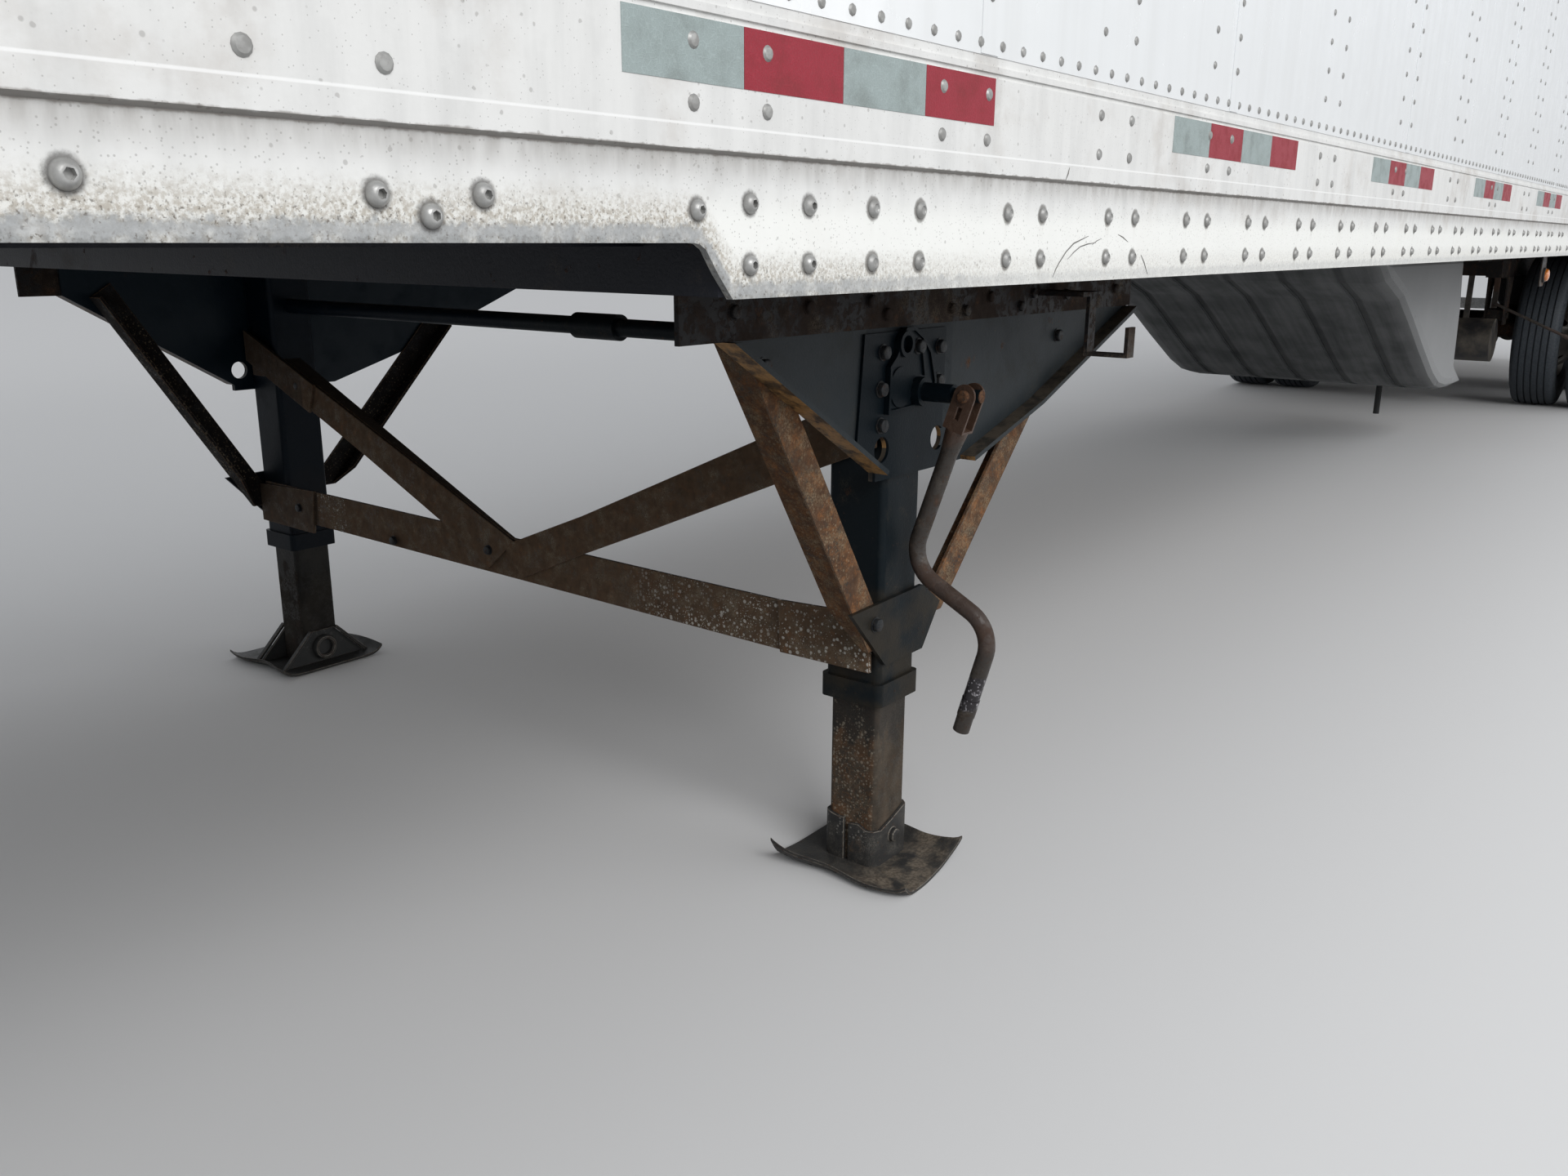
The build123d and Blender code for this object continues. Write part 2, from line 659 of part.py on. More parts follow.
def wing_plate():
    """Mounting plate on the leg's outer face with flanges along its sloping edges."""
    y0 = wing_face_y()
    plate = side_plate(WING_OUTLINE, y0, y0 + WING_SKIN)
    for start, end in WING_SLOPES:
        plate += wing_flange(start, end)
    for x in WING_HOLES:
        plate -= along_y(x, WING_HOLE_Z, WING_HOLE_R, y0 - 1.0, y0 + WING_SKIN + 1.0)
    return plate


# Raised pad of the wing plate and the cast gearbox cover on it, both as (x, z)
PAD_OUTLINE = (
    (4562.0, 958.0),
    (4580.0, 770.0),
    (4525.0, 736.0),
    (4525.0, 722.0),
    (4322.0, 722.0),
    (4318.0, 958.0),
)
COVER_OUTLINE = (
    (4505.0, 829.0),
    (4502.0, 905.0),
    (4484.0, 920.0),
    (4457.0, 964.0),
    (4431.0, 964.0),
    (4405.0, 950.0),
    (4377.0, 923.0),
    (4360.0, 873.0),
    (4365.0, 835.0),
)
PAD_SKIN = 5.0
COVER_SKIN = 6.0
COVER_RIM = 6.0
RIM_HEIGHT = 4.0
# Round bosses of the cover as (x, z, radius, height)
COVER_BOSSES = (
    (4458.0, 938.0, 21.0, 7.0),
    (4466.0, 870.0, 33.0, 2.5),
    (CRANK_X, INPUT_SHAFT_Z, 24.0, 16.0),
)
# The opening in the upper boss as (x, z, radius)
COVER_OPENING = (4458.0, 938.0, 14.0)
# Raised ridge inside the rim as (x, z, x, z)
COVER_RIDGE = (4407.0, 930.0, 4396.0, 884.0)


def rib(xa, za, xb, zb, y0):
    run = math.hypot(xb - xa, zb - za)
    nx, nz = -(zb - za) / run * COVER_RIM / 2, (xb - xa) / run * COVER_RIM / 2
    corners = [(xa + nx, za + nz), (xb + nx, zb + nz), (xb - nx, zb - nz), (xa - nx, za - nz)]
    return side_plate(corners, y0, y0 + RIM_HEIGHT)


def cover_rim(y0):
    face = outline(COVER_OUTLINE)
    ring = face - offset(face, amount=-COVER_RIM, kind=Kind.INTERSECTION)
    return Pos(0, y0 + RIM_HEIGHT, 0) * extrude(Plane.XZ * ring, RIM_HEIGHT)


def leg_mount_plate():
    """Raised pad over the leg with the rimmed cover of the gearbox and its bosses."""
    y0 = wing_face_y() + WING_SKIN
    y1 = y0 + PAD_SKIN
    y2 = y1 + COVER_SKIN
    pad = side_plate(PAD_OUTLINE, y0, y1) - wing_flange(*WING_SLOPES[0])
    for x in WING_HOLES:
        pad -= along_y(x, WING_HOLE_Z, WING_HOLE_R, y0 - 1.0, y1 + 1.0)
    pad += side_plate(COVER_OUTLINE, y1, y2)
    pad += cover_rim(y2)
    pad += rib(*COVER_RIDGE, y2)
    for x, z, radius, height in COVER_BOSSES:
        pad += along_y(x, z, radius, y1, y2 + height)
    x, z, radius = COVER_OPENING
    return pad - along_y(x, z, radius, y1 + 1.0, y2 + 2 * RIM_HEIGHT)


def input_shaft():
    """Shaft that stands out of the cover and ends inside the crank's yoke, bored for the yoke's pin."""
    y0 = wing_face_y() + WING_SKIN + PAD_SKIN
    pin_y = CRANK_PATH[0][0]
    shaft = along_y(CRANK_X, INPUT_SHAFT_Z, INPUT_SHAFT_R, y0, pin_y - INPUT_NECK)
    shaft += along_y(CRANK_X, INPUT_SHAFT_Z, INPUT_END_R, y0, pin_y + INPUT_END_REACH)
    bore = YOKE_PIN_R + SLIDE_GAP
    return shaft - along_x(pin_y, INPUT_SHAFT_Z, bore, CRANK_X - YOKE_GAP / 2, CRANK_X + YOKE_GAP / 2)


def mounting_channel():
    y = wing_face_y() + WING_SKIN
    web = block(CHANNEL_REAR_X, CHANNEL_FRONT_X, y, y + CHANNEL_SKIN, CHANNEL_BOTTOM_Z, BEAM_BOTTOM_Z)
    top = block(CHANNEL_REAR_X, CHANNEL_FRONT_X, y - CHANNEL_FLANGE, y, BEAM_BOTTOM_Z - CHANNEL_SKIN, BEAM_BOTTOM_Z)
    return web + top


def cross_brace():
    """Band between the legs with a V of two diagonals that rise to the legs."""
    x0 = LEG_X + OUTER_TUBE / 2
    x1 = x0 + BRACE_SKIN
    top = BAND_Z + BAND_DEPTH
    band = block(x0, x1, -930.0, 930.0, BAND_Z, top)
    end_left = block(x1, x1 + BRACE_SKIN, 745.0, 945.0, BAND_Z + 2.0, top - 2.0)
    end_right = block(x1, x1 + BRACE_SKIN, -945.0, -740.0, BAND_Z - 10.0, top + 6.0)
    right_arm = [(-84.0, 407.0), (34.0, 477.0), (-850.0, 855.0), (-935.0, 800.0)]
    left_arm = [(0.0, 463.5), (34.0, 477.0), (850.0, 802.0), (850.0, 713.0), (130.0, 426.0), (58.0, 404.0)]
    diagonals = cross_plate(right_arm, x1, x1 + BRACE_SKIN)
    second = cross_plate(left_arm, x1, x1 + BRACE_SKIN) - cross_plate(right_arm, x1, x1 + BRACE_SKIN)
    return band + end_left + end_right + diagonals + second


def angle_brace(top, foot, way):
    """Angle bar from top to foot, both (x, z) on its corner edge, its flange facing way along x."""
    (xa, za), (xb, zb) = top, foot
    run = math.hypot(xb - xa, zb - za)
    nx, nz = (zb - za) / run, -(xb - xa) / run
    if nx * way > 0:
        nx, nz = -nx, -nz
    y1 = wing_face_y()

    def strip(width):
        return [(xa, za), (xb, zb), (xb + nx * width, zb + nz * width), (xa + nx * width, za + nz * width)]

    outer = side_plate(strip(BRACE_LEG), y1 - BRACE_SKIN, y1)
    return outer + side_plate(strip(BRACE_SKIN), y1 - BRACE_LEG, y1)


# Each angle bar's corner edge as (top x, top z, foot x, foot z, way its flange faces)
FORE_AFT_BRACES = (
    (LEG_X + 463.0, 961.0, LEG_X + 110.0, 425.0, 1),
    (LEG_X - 537.0, 853.0, LEG_X - 120.0, 425.0, -1),
)


def fore_aft_braces():
    return [angle_brace((xa, za), (xb, zb), way) for xa, za, xb, zb, way in FORE_AFT_BRACES]


GUSSET_OUTLINE = ((4575.0, 507.0), (4356.0, 514.0), (4295.0, 471.0), (4351.0, 395.0), (4470.0, 394.0))


def leg_gusset():
    y0 = wing_face_y()
    return side_plate(GUSSET_OUTLINE, y0, y0 + WING_SKIN)


def cross_shaft():
    inner = LEG_Y - OUTER_TUBE / 2
    shaft = along_y(LEG_X, CROSS_SHAFT_Z, CROSS_SHAFT_R, -inner, inner)
    return shaft + along_y(LEG_X, CROSS_SHAFT_Z, CROSS_SHAFT_R + 8.0, 180.0, 300.0)


def crank_yoke():
    """Two slotted ears beside the input shaft's end, joined below, with the pin they turn on."""
    reach = YOKE_GAP / 2
    half = YOKE_WIDTH / 2
    yoke = block(-reach, reach, -half, half, -YOKE_DEPTH, -YOKE_DEPTH + YOKE_SKIN)
    for side in (-1, 1):
        x0, x1 = sorted((side * reach, side * (reach + YOKE_SKIN)))
        ear = block(x0, x1, -half, half, -YOKE_DEPTH, 0.0)
        ear += along_x(0.0, 0.0, half, x0, x1)
        slot = block(x0 - 1.0, x1 + 1.0, -YOKE_SLOT_R, YOKE_SLOT_R, -YOKE_DEPTH + half, -half)
        yoke += ear - slot
    head = reach + YOKE_SKIN
    yoke += along_x(0.0, 0.0, YOKE_PIN_R, -head - YOKE_PIN_R, head)
    return yoke + along_x(0.0, 0.0, 1.7 * YOKE_PIN_R, head, head + YOKE_PIN_R)


def crank_handle():
    """Bent crank leaning on its yoke at the input shaft's end, with a grip sleeve near its lower end."""
    (ya, za), (yb, zb) = CRANK_PATH[0], CRANK_PATH[1]
    lean = math.degrees(math.atan2(ya - yb, za - zb))
    share = YOKE_DEPTH / math.hypot(ya - yb, za - zb)
    below_yoke = (ya + (yb - ya) * share, za + (zb - za) * share)
    corners = (below_yoke, *CRANK_PATH[1:])
    path = FilletPolyline(*[(CRANK_X, y, z) for y, z in corners], radius=CRANK_BEND)
    start = Plane(origin=path @ 0, z_dir=path % 0)
    tube = sweep(start * Circle(CRANK_R), path=path)
    tube += start * Pos(0, 0, CRANK_FLARE / 2) * Cone(YOKE_WIDTH / 2, CRANK_R, CRANK_FLARE)
    end = Plane(origin=path @ 1, z_dir=-(path % 1))
    tube += end * Pos(0, 0, GRIP_END + GRIP_LENGTH / 2) * Cylinder(CRANK_R + 1.0, GRIP_LENGTH)
    return tube + Pos(CRANK_X, ya, za) * Rot(-lean, 0, 0) * crank_yoke()


def crank_hook():
    """Bent flat bar that holds the stowed crank."""
    x, t = 3960.0, 7.0
    y0, y1 = 1062.0, 1148.0
    z0 = 892.0
    inner = wing_face_y() + WING_SKIN + CHANNEL_SKIN
    hook = block(x - 15.0, x + 15.0, y0, y0 + t, z0, 1000.0)
    hook += block(x - 15.0, x + 15.0, y0 + t, y1, z0, z0 + t)
    hook += block(x - 15.0, x + 15.0, y1 - t, y1, z0 + t, z0 + 55.0)
    return hook + block(x - 45.0, x + 45.0, inner, y0 + t, 1000.0, 1008.0)


# Running gear


def wheel_section(sign, middle):
    """Disc wheel as (radius, y); sign is +1 where the disc lies inboard of the rim's middle."""
    face = DISC_OFFSET
    rim = [
        (RIM_R, 114.0),
        (290.0, 114.0),
        (254.0, 60.0),
        (254.0, -52.0),
        (178.0, -face + DISC_SKIN),
        (DISC_BORE_R, -face + DISC_SKIN),
        (DISC_BORE_R, -face),
        (184.0, -face),
        (262.0, -72.0),
        (290.0, -114.0),
        (RIM_R, -114.0),
    ]
    return [(r, middle + sign * y) for r, y in rim]


def tyre_section(middle):
    half = TYRE_WIDTH / 2
    bore = RIM_R + BEAD_GAP
    side = [(bore, half - 35.0), (350.0, half - 5.0), (430.0, half), (490.0, half - 12.0), (TYRE_R, half - 38.0)]
    other = [(r, -y) for r, y in reversed(side)]
    return [(r, middle + y) for r, y in side + other]


def twin_places():
    return TWIN_MIDDLE_Y - TWIN_SPACING / 2, TWIN_MIDDLE_Y + TWIN_SPACING / 2


def twin_tyres(x):
    return [turned_about_y(tyre_section(y), x, TYRE_R) for y in twin_places()]


def twin_wheels(x):
    inner, outer = twin_places()
    discs = []
    for sign, middle in ((1, outer), (-1, inner)):
        disc = turned_about_y(wheel_section(sign, middle), x, TYRE_R)
        for i in range(HAND_HOLES):
            turn = 2 * math.pi * i / HAND_HOLES
            hole_x = x + HAND_HOLE_PLACE * math.sin(turn)
            hole_z = TYRE_R + HAND_HOLE_PLACE * math.cos(turn)
            disc -= along_y(hole_x, hole_z, HAND_HOLE_R, middle - DISC_OFFSET, middle + DISC_OFFSET)
        discs.append(disc)
    return discs


def hub_and_drum(x):
    bore = SPINDLE_R + SPINDLE_GAP
    seat = TWIN_MIDDLE_Y - DISC_SKIN
    profile = [
        (222.0, 660.0),
        (222.0, 870.0),
        (165.0, 945.0),
        (165.0, seat),
        (DISC_BORE_R - BEAD_GAP, seat),
        (DISC_BORE_R - BEAD_GAP, 1006.0),
        (86.0, 1012.0),
        (72.0, 1160.0),
        (0.0, 1160.0),
        (0.0, 1130.0),
        (bore, 1130.0),
        (bore, 850.0),
        (208.0, 850.0),
        (208.0, 660.0),
    ]
    return turned_about_y(profile, x, TYRE_R)


def axle(x):
    half = [
        (0.0, 1110.0),
        (SPINDLE_R, 1110.0),
        (SPINDLE_R, 850.0),
        (AXLE_R, 800.0),
        (AXLE_R, 650.0),
        (180.0, 650.0),
        (180.0, 642.0),
        (AXLE_R, 642.0),
    ]
    profile = half + [(r, -y) for r, y in reversed(half)]
    return turned_about_y(profile, x, TYRE_R)


def body_slide_rail():
    z1 = BEAM_BOTTOM_Z
    section = [
        (FRAME_Y - 40.0, z1 - BODY_RAIL_DEPTH),
        (FRAME_Y + 40.0, z1 - BODY_RAIL_DEPTH),
        (FRAME_Y + 40.0, z1),
        (FRAME_Y - 40.0, z1),
    ]
    return cross_plate(section, TAIL_X + POST_DEPTH + 620.0, -2500.0)


def slider_top():
    return BEAM_BOTTOM_Z - BODY_RAIL_DEPTH


def slider_frame():
    z1 = slider_top()
    z0 = z1 - SLIDER_DEPTH
    front = FRONT_AXLE_X + SLIDER_REACH
    rear = REAR_AXLE_X - 620.0
    frame = block(rear, front, FRAME_Y - 45.0, FRAME_Y + 45.0, z0, z1)
    frame += mirrored(frame)
    for x in (front - 90.0, FRONT_AXLE_X - 560.0, REAR_AXLE_X - 560.0):
        frame += block(x, x + 80.0, -FRAME_Y + 45.0, FRAME_Y - 45.0, z0 + 10.0, z1 - 10.0)
    return frame


def arm_bottom():
    return TYRE_R + AXLE_R


def hanger(x):
    z1 = slider_top() - SLIDER_DEPTH
    pivot_x = x + 500.0
    pivot_z = arm_bottom() + ARM_HEIGHT / 2
    cheek = [
        (pivot_x - 110.0, z1),
        (pivot_x + 110.0, z1),
        (pivot_x + 60.0, pivot_z - 60.0),
        (pivot_x - 60.0, pivot_z - 60.0),
    ]
    outer = side_plate(cheek, FRAME_Y + 52.0, FRAME_Y + 60.0)
    inner = side_plate(cheek, FRAME_Y - 60.0, FRAME_Y - 52.0)
    roof_plate = block(pivot_x - 110.0, pivot_x + 110.0, FRAME_Y - 60.0, FRAME_Y + 60.0, z1 - 8.0, z1)
    pin = along_y(pivot_x, pivot_z, 18.0, FRAME_Y - 74.0, FRAME_Y + 74.0)
    return outer + inner + roof_plate + pin


def trailing_arm(x):
    z0 = arm_bottom()
    z1 = z0 + ARM_HEIGHT
    points = [
        (x + 545.0, z0 + 15.0),
        (x + 545.0, z1 - 15.0),
        (x + 160.0, z1 + 10.0),
        (x - 160.0, z1),
        (x - 225.0, z0 + 20.0),
        (x - 480.0, z0 + 20.0),
        (x - 480.0, z0),
        (x - 160.0, z0 - 10.0),
        (x - 75.0, z0),
        (x + 75.0, z0),
    ]
    arm = side_plate(points, FRAME_Y - 48.0, FRAME_Y + 48.0)
    bore = along_y(x + 500.0, z0 + ARM_HEIGHT / 2, 18.3, FRAME_Y - 50.0, FRAME_Y + 50.0)
    return arm - bore


def air_spring(x):
    z0 = arm_bottom() + 20.0
    z1 = slider_top() - SLIDER_DEPTH
    profile = [
        (0.0, z0),
        (75.0, z0),
        (85.0, z0 + 60.0),
        (AIR_SPRING_R, z0 + 100.0),
        (AIR_SPRING_R, z1 - 40.0),
        (90.0, z1),
        (0.0, z1),
    ]
    bag = revolve(Plane.XZ * outline(profile), Axis.Z, 360)
    return Pos(x - 350.0, AIR_SPRING_Y, 0) * bag


def brake_chamber(x):
    y, z = 380.0, 430.0
    can = along_x(y, z, 92.0, x - 330.0, x - 160.0)
    can += block(x - 160.0, x - AXLE_R - 0.5, y - 30.0, y + 30.0, z + 30.0, z + 100.0)
    return can


def air_tank():
    x, z, r = FRONT_AXLE_X + SLIDER_REACH - 90.0, 470.0, 140.0
    tank = along_y(x, z, r, -200.0, 600.0)
    z1 = slider_top() - SLIDER_DEPTH + 10.0
    for y in (-80.0, 420.0):
        tank += block(x - 20.0, x + 20.0, y - 15.0, y + 15.0, z, z1)
    return tank


# Pull rod of the sliding bogie's pins as (y, z), from its bracket out to its handle
PULL_ROD = ((590.0, 712.0), (1150.0, 462.0))
PULL_ROD_R = 9.0
PULL_GRIP_R = 14.0
PULL_GRIP_LENGTH = 150.0


def pin_pull():
    x = FRONT_AXLE_X + SLIDER_REACH
    (y0, z0), (y1, z1) = PULL_ROD
    length = math.hypot(y1 - y0, z1 - z0)
    along = Plane(origin=(x, y0, z0), z_dir=(0, y1 - y0, z1 - z0))
    rod = along * Pos(0, 0, length / 2) * Cylinder(PULL_ROD_R, length)
    rod += along * Pos(0, 0, length - PULL_GRIP_LENGTH / 2) * Cylinder(PULL_GRIP_R, PULL_GRIP_LENGTH)
    frame_z = slider_top() - SLIDER_DEPTH
    return rod + block(x - 30.0, x - 8.0, y0 - 20.0, y0 + 12.0, z0 - 30.0, frame_z)


def mud_flap():
    x = REAR_AXLE_X - 620.0
    flap = block(x, x + 8.0, 680.0, 1290.0, 200.0, 880.0)
    bar = block(x - 30.0, x, FRAME_Y + 45.0, 1290.0, 850.0, 900.0)
    return flap + bar


# Fairing under the floor

FAIRING_OUTLINE = (
    (360.0, BEAM_BOTTOM_Z),
    (100.0, 920.0),
    (-200.0, 833.0),
    (-440.0, 722.0),
    (-750.0, 567.0),
    (-1060.0, 420.0),
    (-1250.0, 352.0),
    (-1430.0, 324.0),
    (-1600.0, 318.0),
    (-1930.0, 322.0),
    (-1965.0, 338.0),
    (-1930.0, 352.0),
    (-1650.0, 398.0),
    (-1609.0, 440.0),
    (-1560.0, 777.0),
    (-1490.0, 957.0),
    (-1470.0, BEAM_BOTTOM_Z),
)
FAIRING_HALF_WIDTH = 715.0
FAIRING_SKIN = 12.0
# The fairing's rounded side edges as (from the side, drawn in by)
FAIRING_EDGE = ((80.0, 0.0), (28.0, 12.0), (8.0, 30.0), (0.0, 62.0))
FAIRING_GROOVES = (-510.0, -255.0, 0.0, 255.0, 510.0)
# Each groove's section as (half width, depth)
GROOVE_SECTION = ((22.0, 3.5), (12.0, 7.0))
GROOVE_REACH = 1400.0  # how far behind the middle the grooves run


def fairing_face(inset):
    face = Plane.XZ * outline(FAIRING_OUTLINE)
    return offset(face, -inset, kind=Kind.INTERSECTION) if inset else face


def fairing_form(inset):
    """The fairing's form drawn in by inset, its side edges rounded in flat steps."""
    half = FAIRING_HALF_WIDTH - inset
    core_half = half - FAIRING_EDGE[0][0]
    body = Pos(0, core_half, 0) * extrude(fairing_face(inset), 2 * core_half)
    for (edge_a, in_a), (edge_b, in_b) in zip(FAIRING_EDGE, FAIRING_EDGE[1:]):
        near = Pos(0, half - edge_a, 0) * fairing_face(inset + in_a)
        far = Pos(0, half - edge_b, 0) * fairing_face(inset + in_b)
        side = loft([near, far], ruled=True)
        body = body + side + mirrored(side)
    return body


def fairing_grooves():
    """Long shallow channels pressed into the ramp, as the space between the outline and its inner copy."""
    cuts = []
    reach = block(-GROOVE_REACH, FAIRING_OUTLINE[0][0] + 1.0, -FAIRING_HALF_WIDTH, FAIRING_HALF_WIDTH,
                  0.0, FAIRING_OUTLINE[1][1])
    for half_width, depth in GROOVE_SECTION:
        ring = extrude(fairing_face(0), 2 * half_width) - extrude(fairing_face(depth), 2 * half_width)
        strip = (Pos(0, half_width, 0) * ring) & reach
        cuts += [Pos(0, y, 0) * strip for y in FAIRING_GROOVES]
    return cuts


def underbody_fairing():
    """A moulded shell with five grooves down its ramp, open at the top where it meets the cross members."""
    core = fairing_form(FAIRING_SKIN)
    lid_half = FAIRING_HALF_WIDTH - FAIRING_EDGE[0][0] - FAIRING_SKIN
    mouth = block(FAIRING_OUTLINE[-1][0] + 4 * FAIRING_SKIN, FAIRING_OUTLINE[0][0] - 8 * FAIRING_SKIN,
                  -lid_half, lid_half, BEAM_BOTTOM_Z - 2 * FAIRING_SKIN, BEAM_BOTTOM_Z + 1.0)
    return fairing_form(0) - core - mouth - fairing_grooves()


def drain_tube():
    top = FAIRING_OUTLINE[8][1] + 1.0
    bottom = 150.0
    return Pos(-1590.0, 345.0, (top + bottom) / 2) * Cylinder(16.0, top - bottom) - fairing_form(0)


# Lamps and front connections


def lamp_beam_x():
    """The cross member that carries the side lamps' brackets."""
    return FIRST_BEAM_X - 18 * BEAM_PITCH


def amber_lamps():
    """Side lamp at the middle of each side and lamps at the front corners of the rails."""
    lamps = []
    for side in (-1, 1):
        y0 = side * (HALF_WIDTH - 110.0)
        lamp = block(-690.0, -560.0, min(y0, y0 + side * 6), max(y0, y0 + side * 6), 905.0, BEAM_BOTTOM_Z)
        lamp += along_y(-640.0, 955.0, 32.0, y0 + side * 6.0, y0 + side * 32.0)
        tab = (min(y0, y0 + side * 40), max(y0, y0 + side * 40), BEAM_BOTTOM_Z - 6.0, BEAM_BOTTOM_Z)
        lamp += block(-690.0, lamp_beam_x(), *tab)
        lamps.append(lamp)
    return lamps


LAMP_R = 50.0
LAMP_DEPTH = 18.0


def red_lamps():
    lamps = []
    for side in (-1, 1):
        for i in range(2):
            y = side * (560.0 + 160.0 * i)
            lamps.append(along_x(y, RAIL_BOTTOM_Z + 1.3 * LAMP_R, LAMP_R, TAIL_X - LAMP_DEPTH, TAIL_X))
    for y in (-150.0, 0.0, 150.0):
        z = BODY_HEIGHT - HEADER_DEPTH / 2 + 10.0
        lamps.append(block(TAIL_X - LAMP_DEPTH, TAIL_X, y - LAMP_R, y + LAMP_R, z, z + LAMP_R / 2))
    return lamps


def gladhand(y):
    z = 1330.0
    base = block(NOSE_X, NOSE_X + 20.0, y - 35.0, y + 35.0, z - 35.0, z + 35.0)
    return base + along_x(y, z, 28.0, NOSE_X + 20.0, NOSE_X + END_REACH)


def light_socket():
    z = 1330.0
    base = block(NOSE_X, NOSE_X + 15.0, -45.0, 45.0, z - 45.0, z + 45.0)
    return base + along_x(0.0, z, 34.0, NOSE_X + 15.0, NOSE_X + 60.0)


def build_box():
    for side, place in (("left", lambda s: s), ("right", mirrored)):
        save(f"bottom_rail_{side}", place(bottom_rail()))
        save(f"side_wall_{side}", place(side_wall()))
        post = place(rear_post())
        butts = [place(b) for b in hinge_butts()]
        save(f"rear_post_{side}", post + butts)
    save("top_rails", top_rail(), mirrored(top_rail()))
    save("roof", roof())
    save("front_wall", front_wall())
    save("front_corner_posts", front_corner_post(), mirrored(front_corner_post()))
    save("floor", floor())
    save("cross_members", *cross_members())
    save("upper_coupler", upper_coupler())
    save("kingpin", kingpin())
    save("rear_header", rear_header())
    save("rear_sill", rear_sill())
    save("rear_guard", rear_guard())
    save("dock_bumpers", dock_bumper(), mirrored(dock_bumper()))


def build_doors():
    for side, place in (("left", lambda s: s), ("right", mirrored)):
        save(f"door_panel_{side}", place(door_panel()))
        save(f"door_hardware_{side}", *[place(p) for p in door_hardware()])


def build_landing_gear():
    save("landing_legs", landing_leg() + leg_gusset(), mirrored(landing_leg() + leg_gusset()))
    save("lower_legs", lower_leg(), mirrored(lower_leg()))
    save("sand_shoes", shoe_with_socket(), shoe_with_ears())
    save("wing_plates", wing_plate(), mirrored(wing_plate()))
    save("gearbox_cover", leg_mount_plate() + input_shaft(), mirrored(leg_mount_plate()))
    save("mounting_channels", mounting_channel() + crank_hook(), mirrored(mounting_channel()))
    save("cross_brace", cross_brace())
    braces = fore_aft_braces()
    save("fore_aft_braces", *braces, *[mirrored(b) for b in braces])
    save("cross_shaft", cross_shaft())
    save("crank_handle", crank_handle())


def build_running_gear():
    save("body_slide_rails", body_slide_rail(), mirrored(body_slide_rail()))
    save("slider_frame", slider_frame())
    both = (FRONT_AXLE_X, REAR_AXLE_X)
    for name, make in (
        ("suspension_hangers", hanger),
        ("trailing_arms", trailing_arm),
        ("air_springs", air_spring),
        ("brake_chambers", brake_chamber),
    ):
        pieces = [make(x) for x in both]
        save(name, *pieces, *[mirrored(p) for p in pieces])
    save("axles", *[axle(x) for x in both])
    save("air_tank", air_tank())
    save("pin_pull", pin_pull())
    save("mud_flaps", mud_flap(), mirrored(mud_flap()))


def build_wheels():
    for axle_name, x in (("front", FRONT_AXLE_X), ("rear", REAR_AXLE_X)):
        for side, place in (("left", lambda s: s), ("right", mirrored)):
            save(f"tyres_{axle_name}_{side}", *[place(p) for p in twin_tyres(x)])
            save(f"wheels_{axle_name}_{side}", *[place(p) for p in twin_wheels(x)])
            save(f"hub_{axle_name}_{side}", place(hub_and_drum(x)))


def build_trim():
    save("underbody_fairing", underbody_fairing())
    save("drain_tube", drain_tube())
    save("amber_lamps", *amber_lamps())
    save("red_lamps", *red_lamps())
    save("front_connectors", gladhand(180.0), gladhand(-180.0), light_socket())


build_box()
build_doors()
build_landing_gear()
build_running_gear()
build_wheels()
build_trim()
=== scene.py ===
import math

import bmesh
import bpy
from bpy.props import FloatProperty, FloatVectorProperty, PointerProperty
from mathutils import Matrix, Vector


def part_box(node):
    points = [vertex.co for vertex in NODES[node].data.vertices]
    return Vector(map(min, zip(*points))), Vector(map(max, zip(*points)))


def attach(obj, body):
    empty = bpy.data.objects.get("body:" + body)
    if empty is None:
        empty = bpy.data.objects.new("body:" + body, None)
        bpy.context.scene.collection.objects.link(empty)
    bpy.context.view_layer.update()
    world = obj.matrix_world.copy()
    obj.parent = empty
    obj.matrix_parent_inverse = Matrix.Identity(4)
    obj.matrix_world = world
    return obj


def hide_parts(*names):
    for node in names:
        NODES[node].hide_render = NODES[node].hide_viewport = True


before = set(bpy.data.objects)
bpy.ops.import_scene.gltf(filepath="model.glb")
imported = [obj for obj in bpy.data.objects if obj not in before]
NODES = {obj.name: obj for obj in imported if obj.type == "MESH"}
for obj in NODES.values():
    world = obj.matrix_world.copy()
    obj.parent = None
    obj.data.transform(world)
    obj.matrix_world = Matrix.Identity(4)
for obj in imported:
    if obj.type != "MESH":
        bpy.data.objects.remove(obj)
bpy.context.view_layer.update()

bl_info = {
    "name": "Semi trailer looks",
    "version": (1, 0, 0),
    "blender": (4, 5, 0),
    "location": "View3D > Sidebar > Trailer",
    "description": "Fasteners, tape, tyres and finishes for the dry van semi trailer",
    "category": "Object",
}

SIDES = {"left": 1, "right": -1}

# Places read from the frame, in metres
RAIL_LOW, RAIL_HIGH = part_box("bottom_rail_left")
WALL_LOW, WALL_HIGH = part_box("side_wall_left")
TOP_LOW, TOP_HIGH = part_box("top_rails")
FRONT_LOW, FRONT_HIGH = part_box("front_wall")
HEADER_LOW, HEADER_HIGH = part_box("rear_header")
POST_LOW, POST_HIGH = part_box("rear_post_left")
PANEL_LOW, PANEL_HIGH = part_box("door_panel_left")
GUARD_LOW, GUARD_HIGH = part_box("rear_guard")
LAMP_LOW, LAMP_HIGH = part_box("amber_lamps")
RAIL_Y = RAIL_HIGH.y
SHEET_Y = WALL_HIGH.y
SKIRT_Y = RAIL_Y - 0.006
RAIL_TOP = RAIL_HIGH.z
RAIL_BOTTOM = RAIL_LOW.z
TAIL_X = POST_HIGH.x - 0.1
NOSE_X = FRONT_HIGH.x

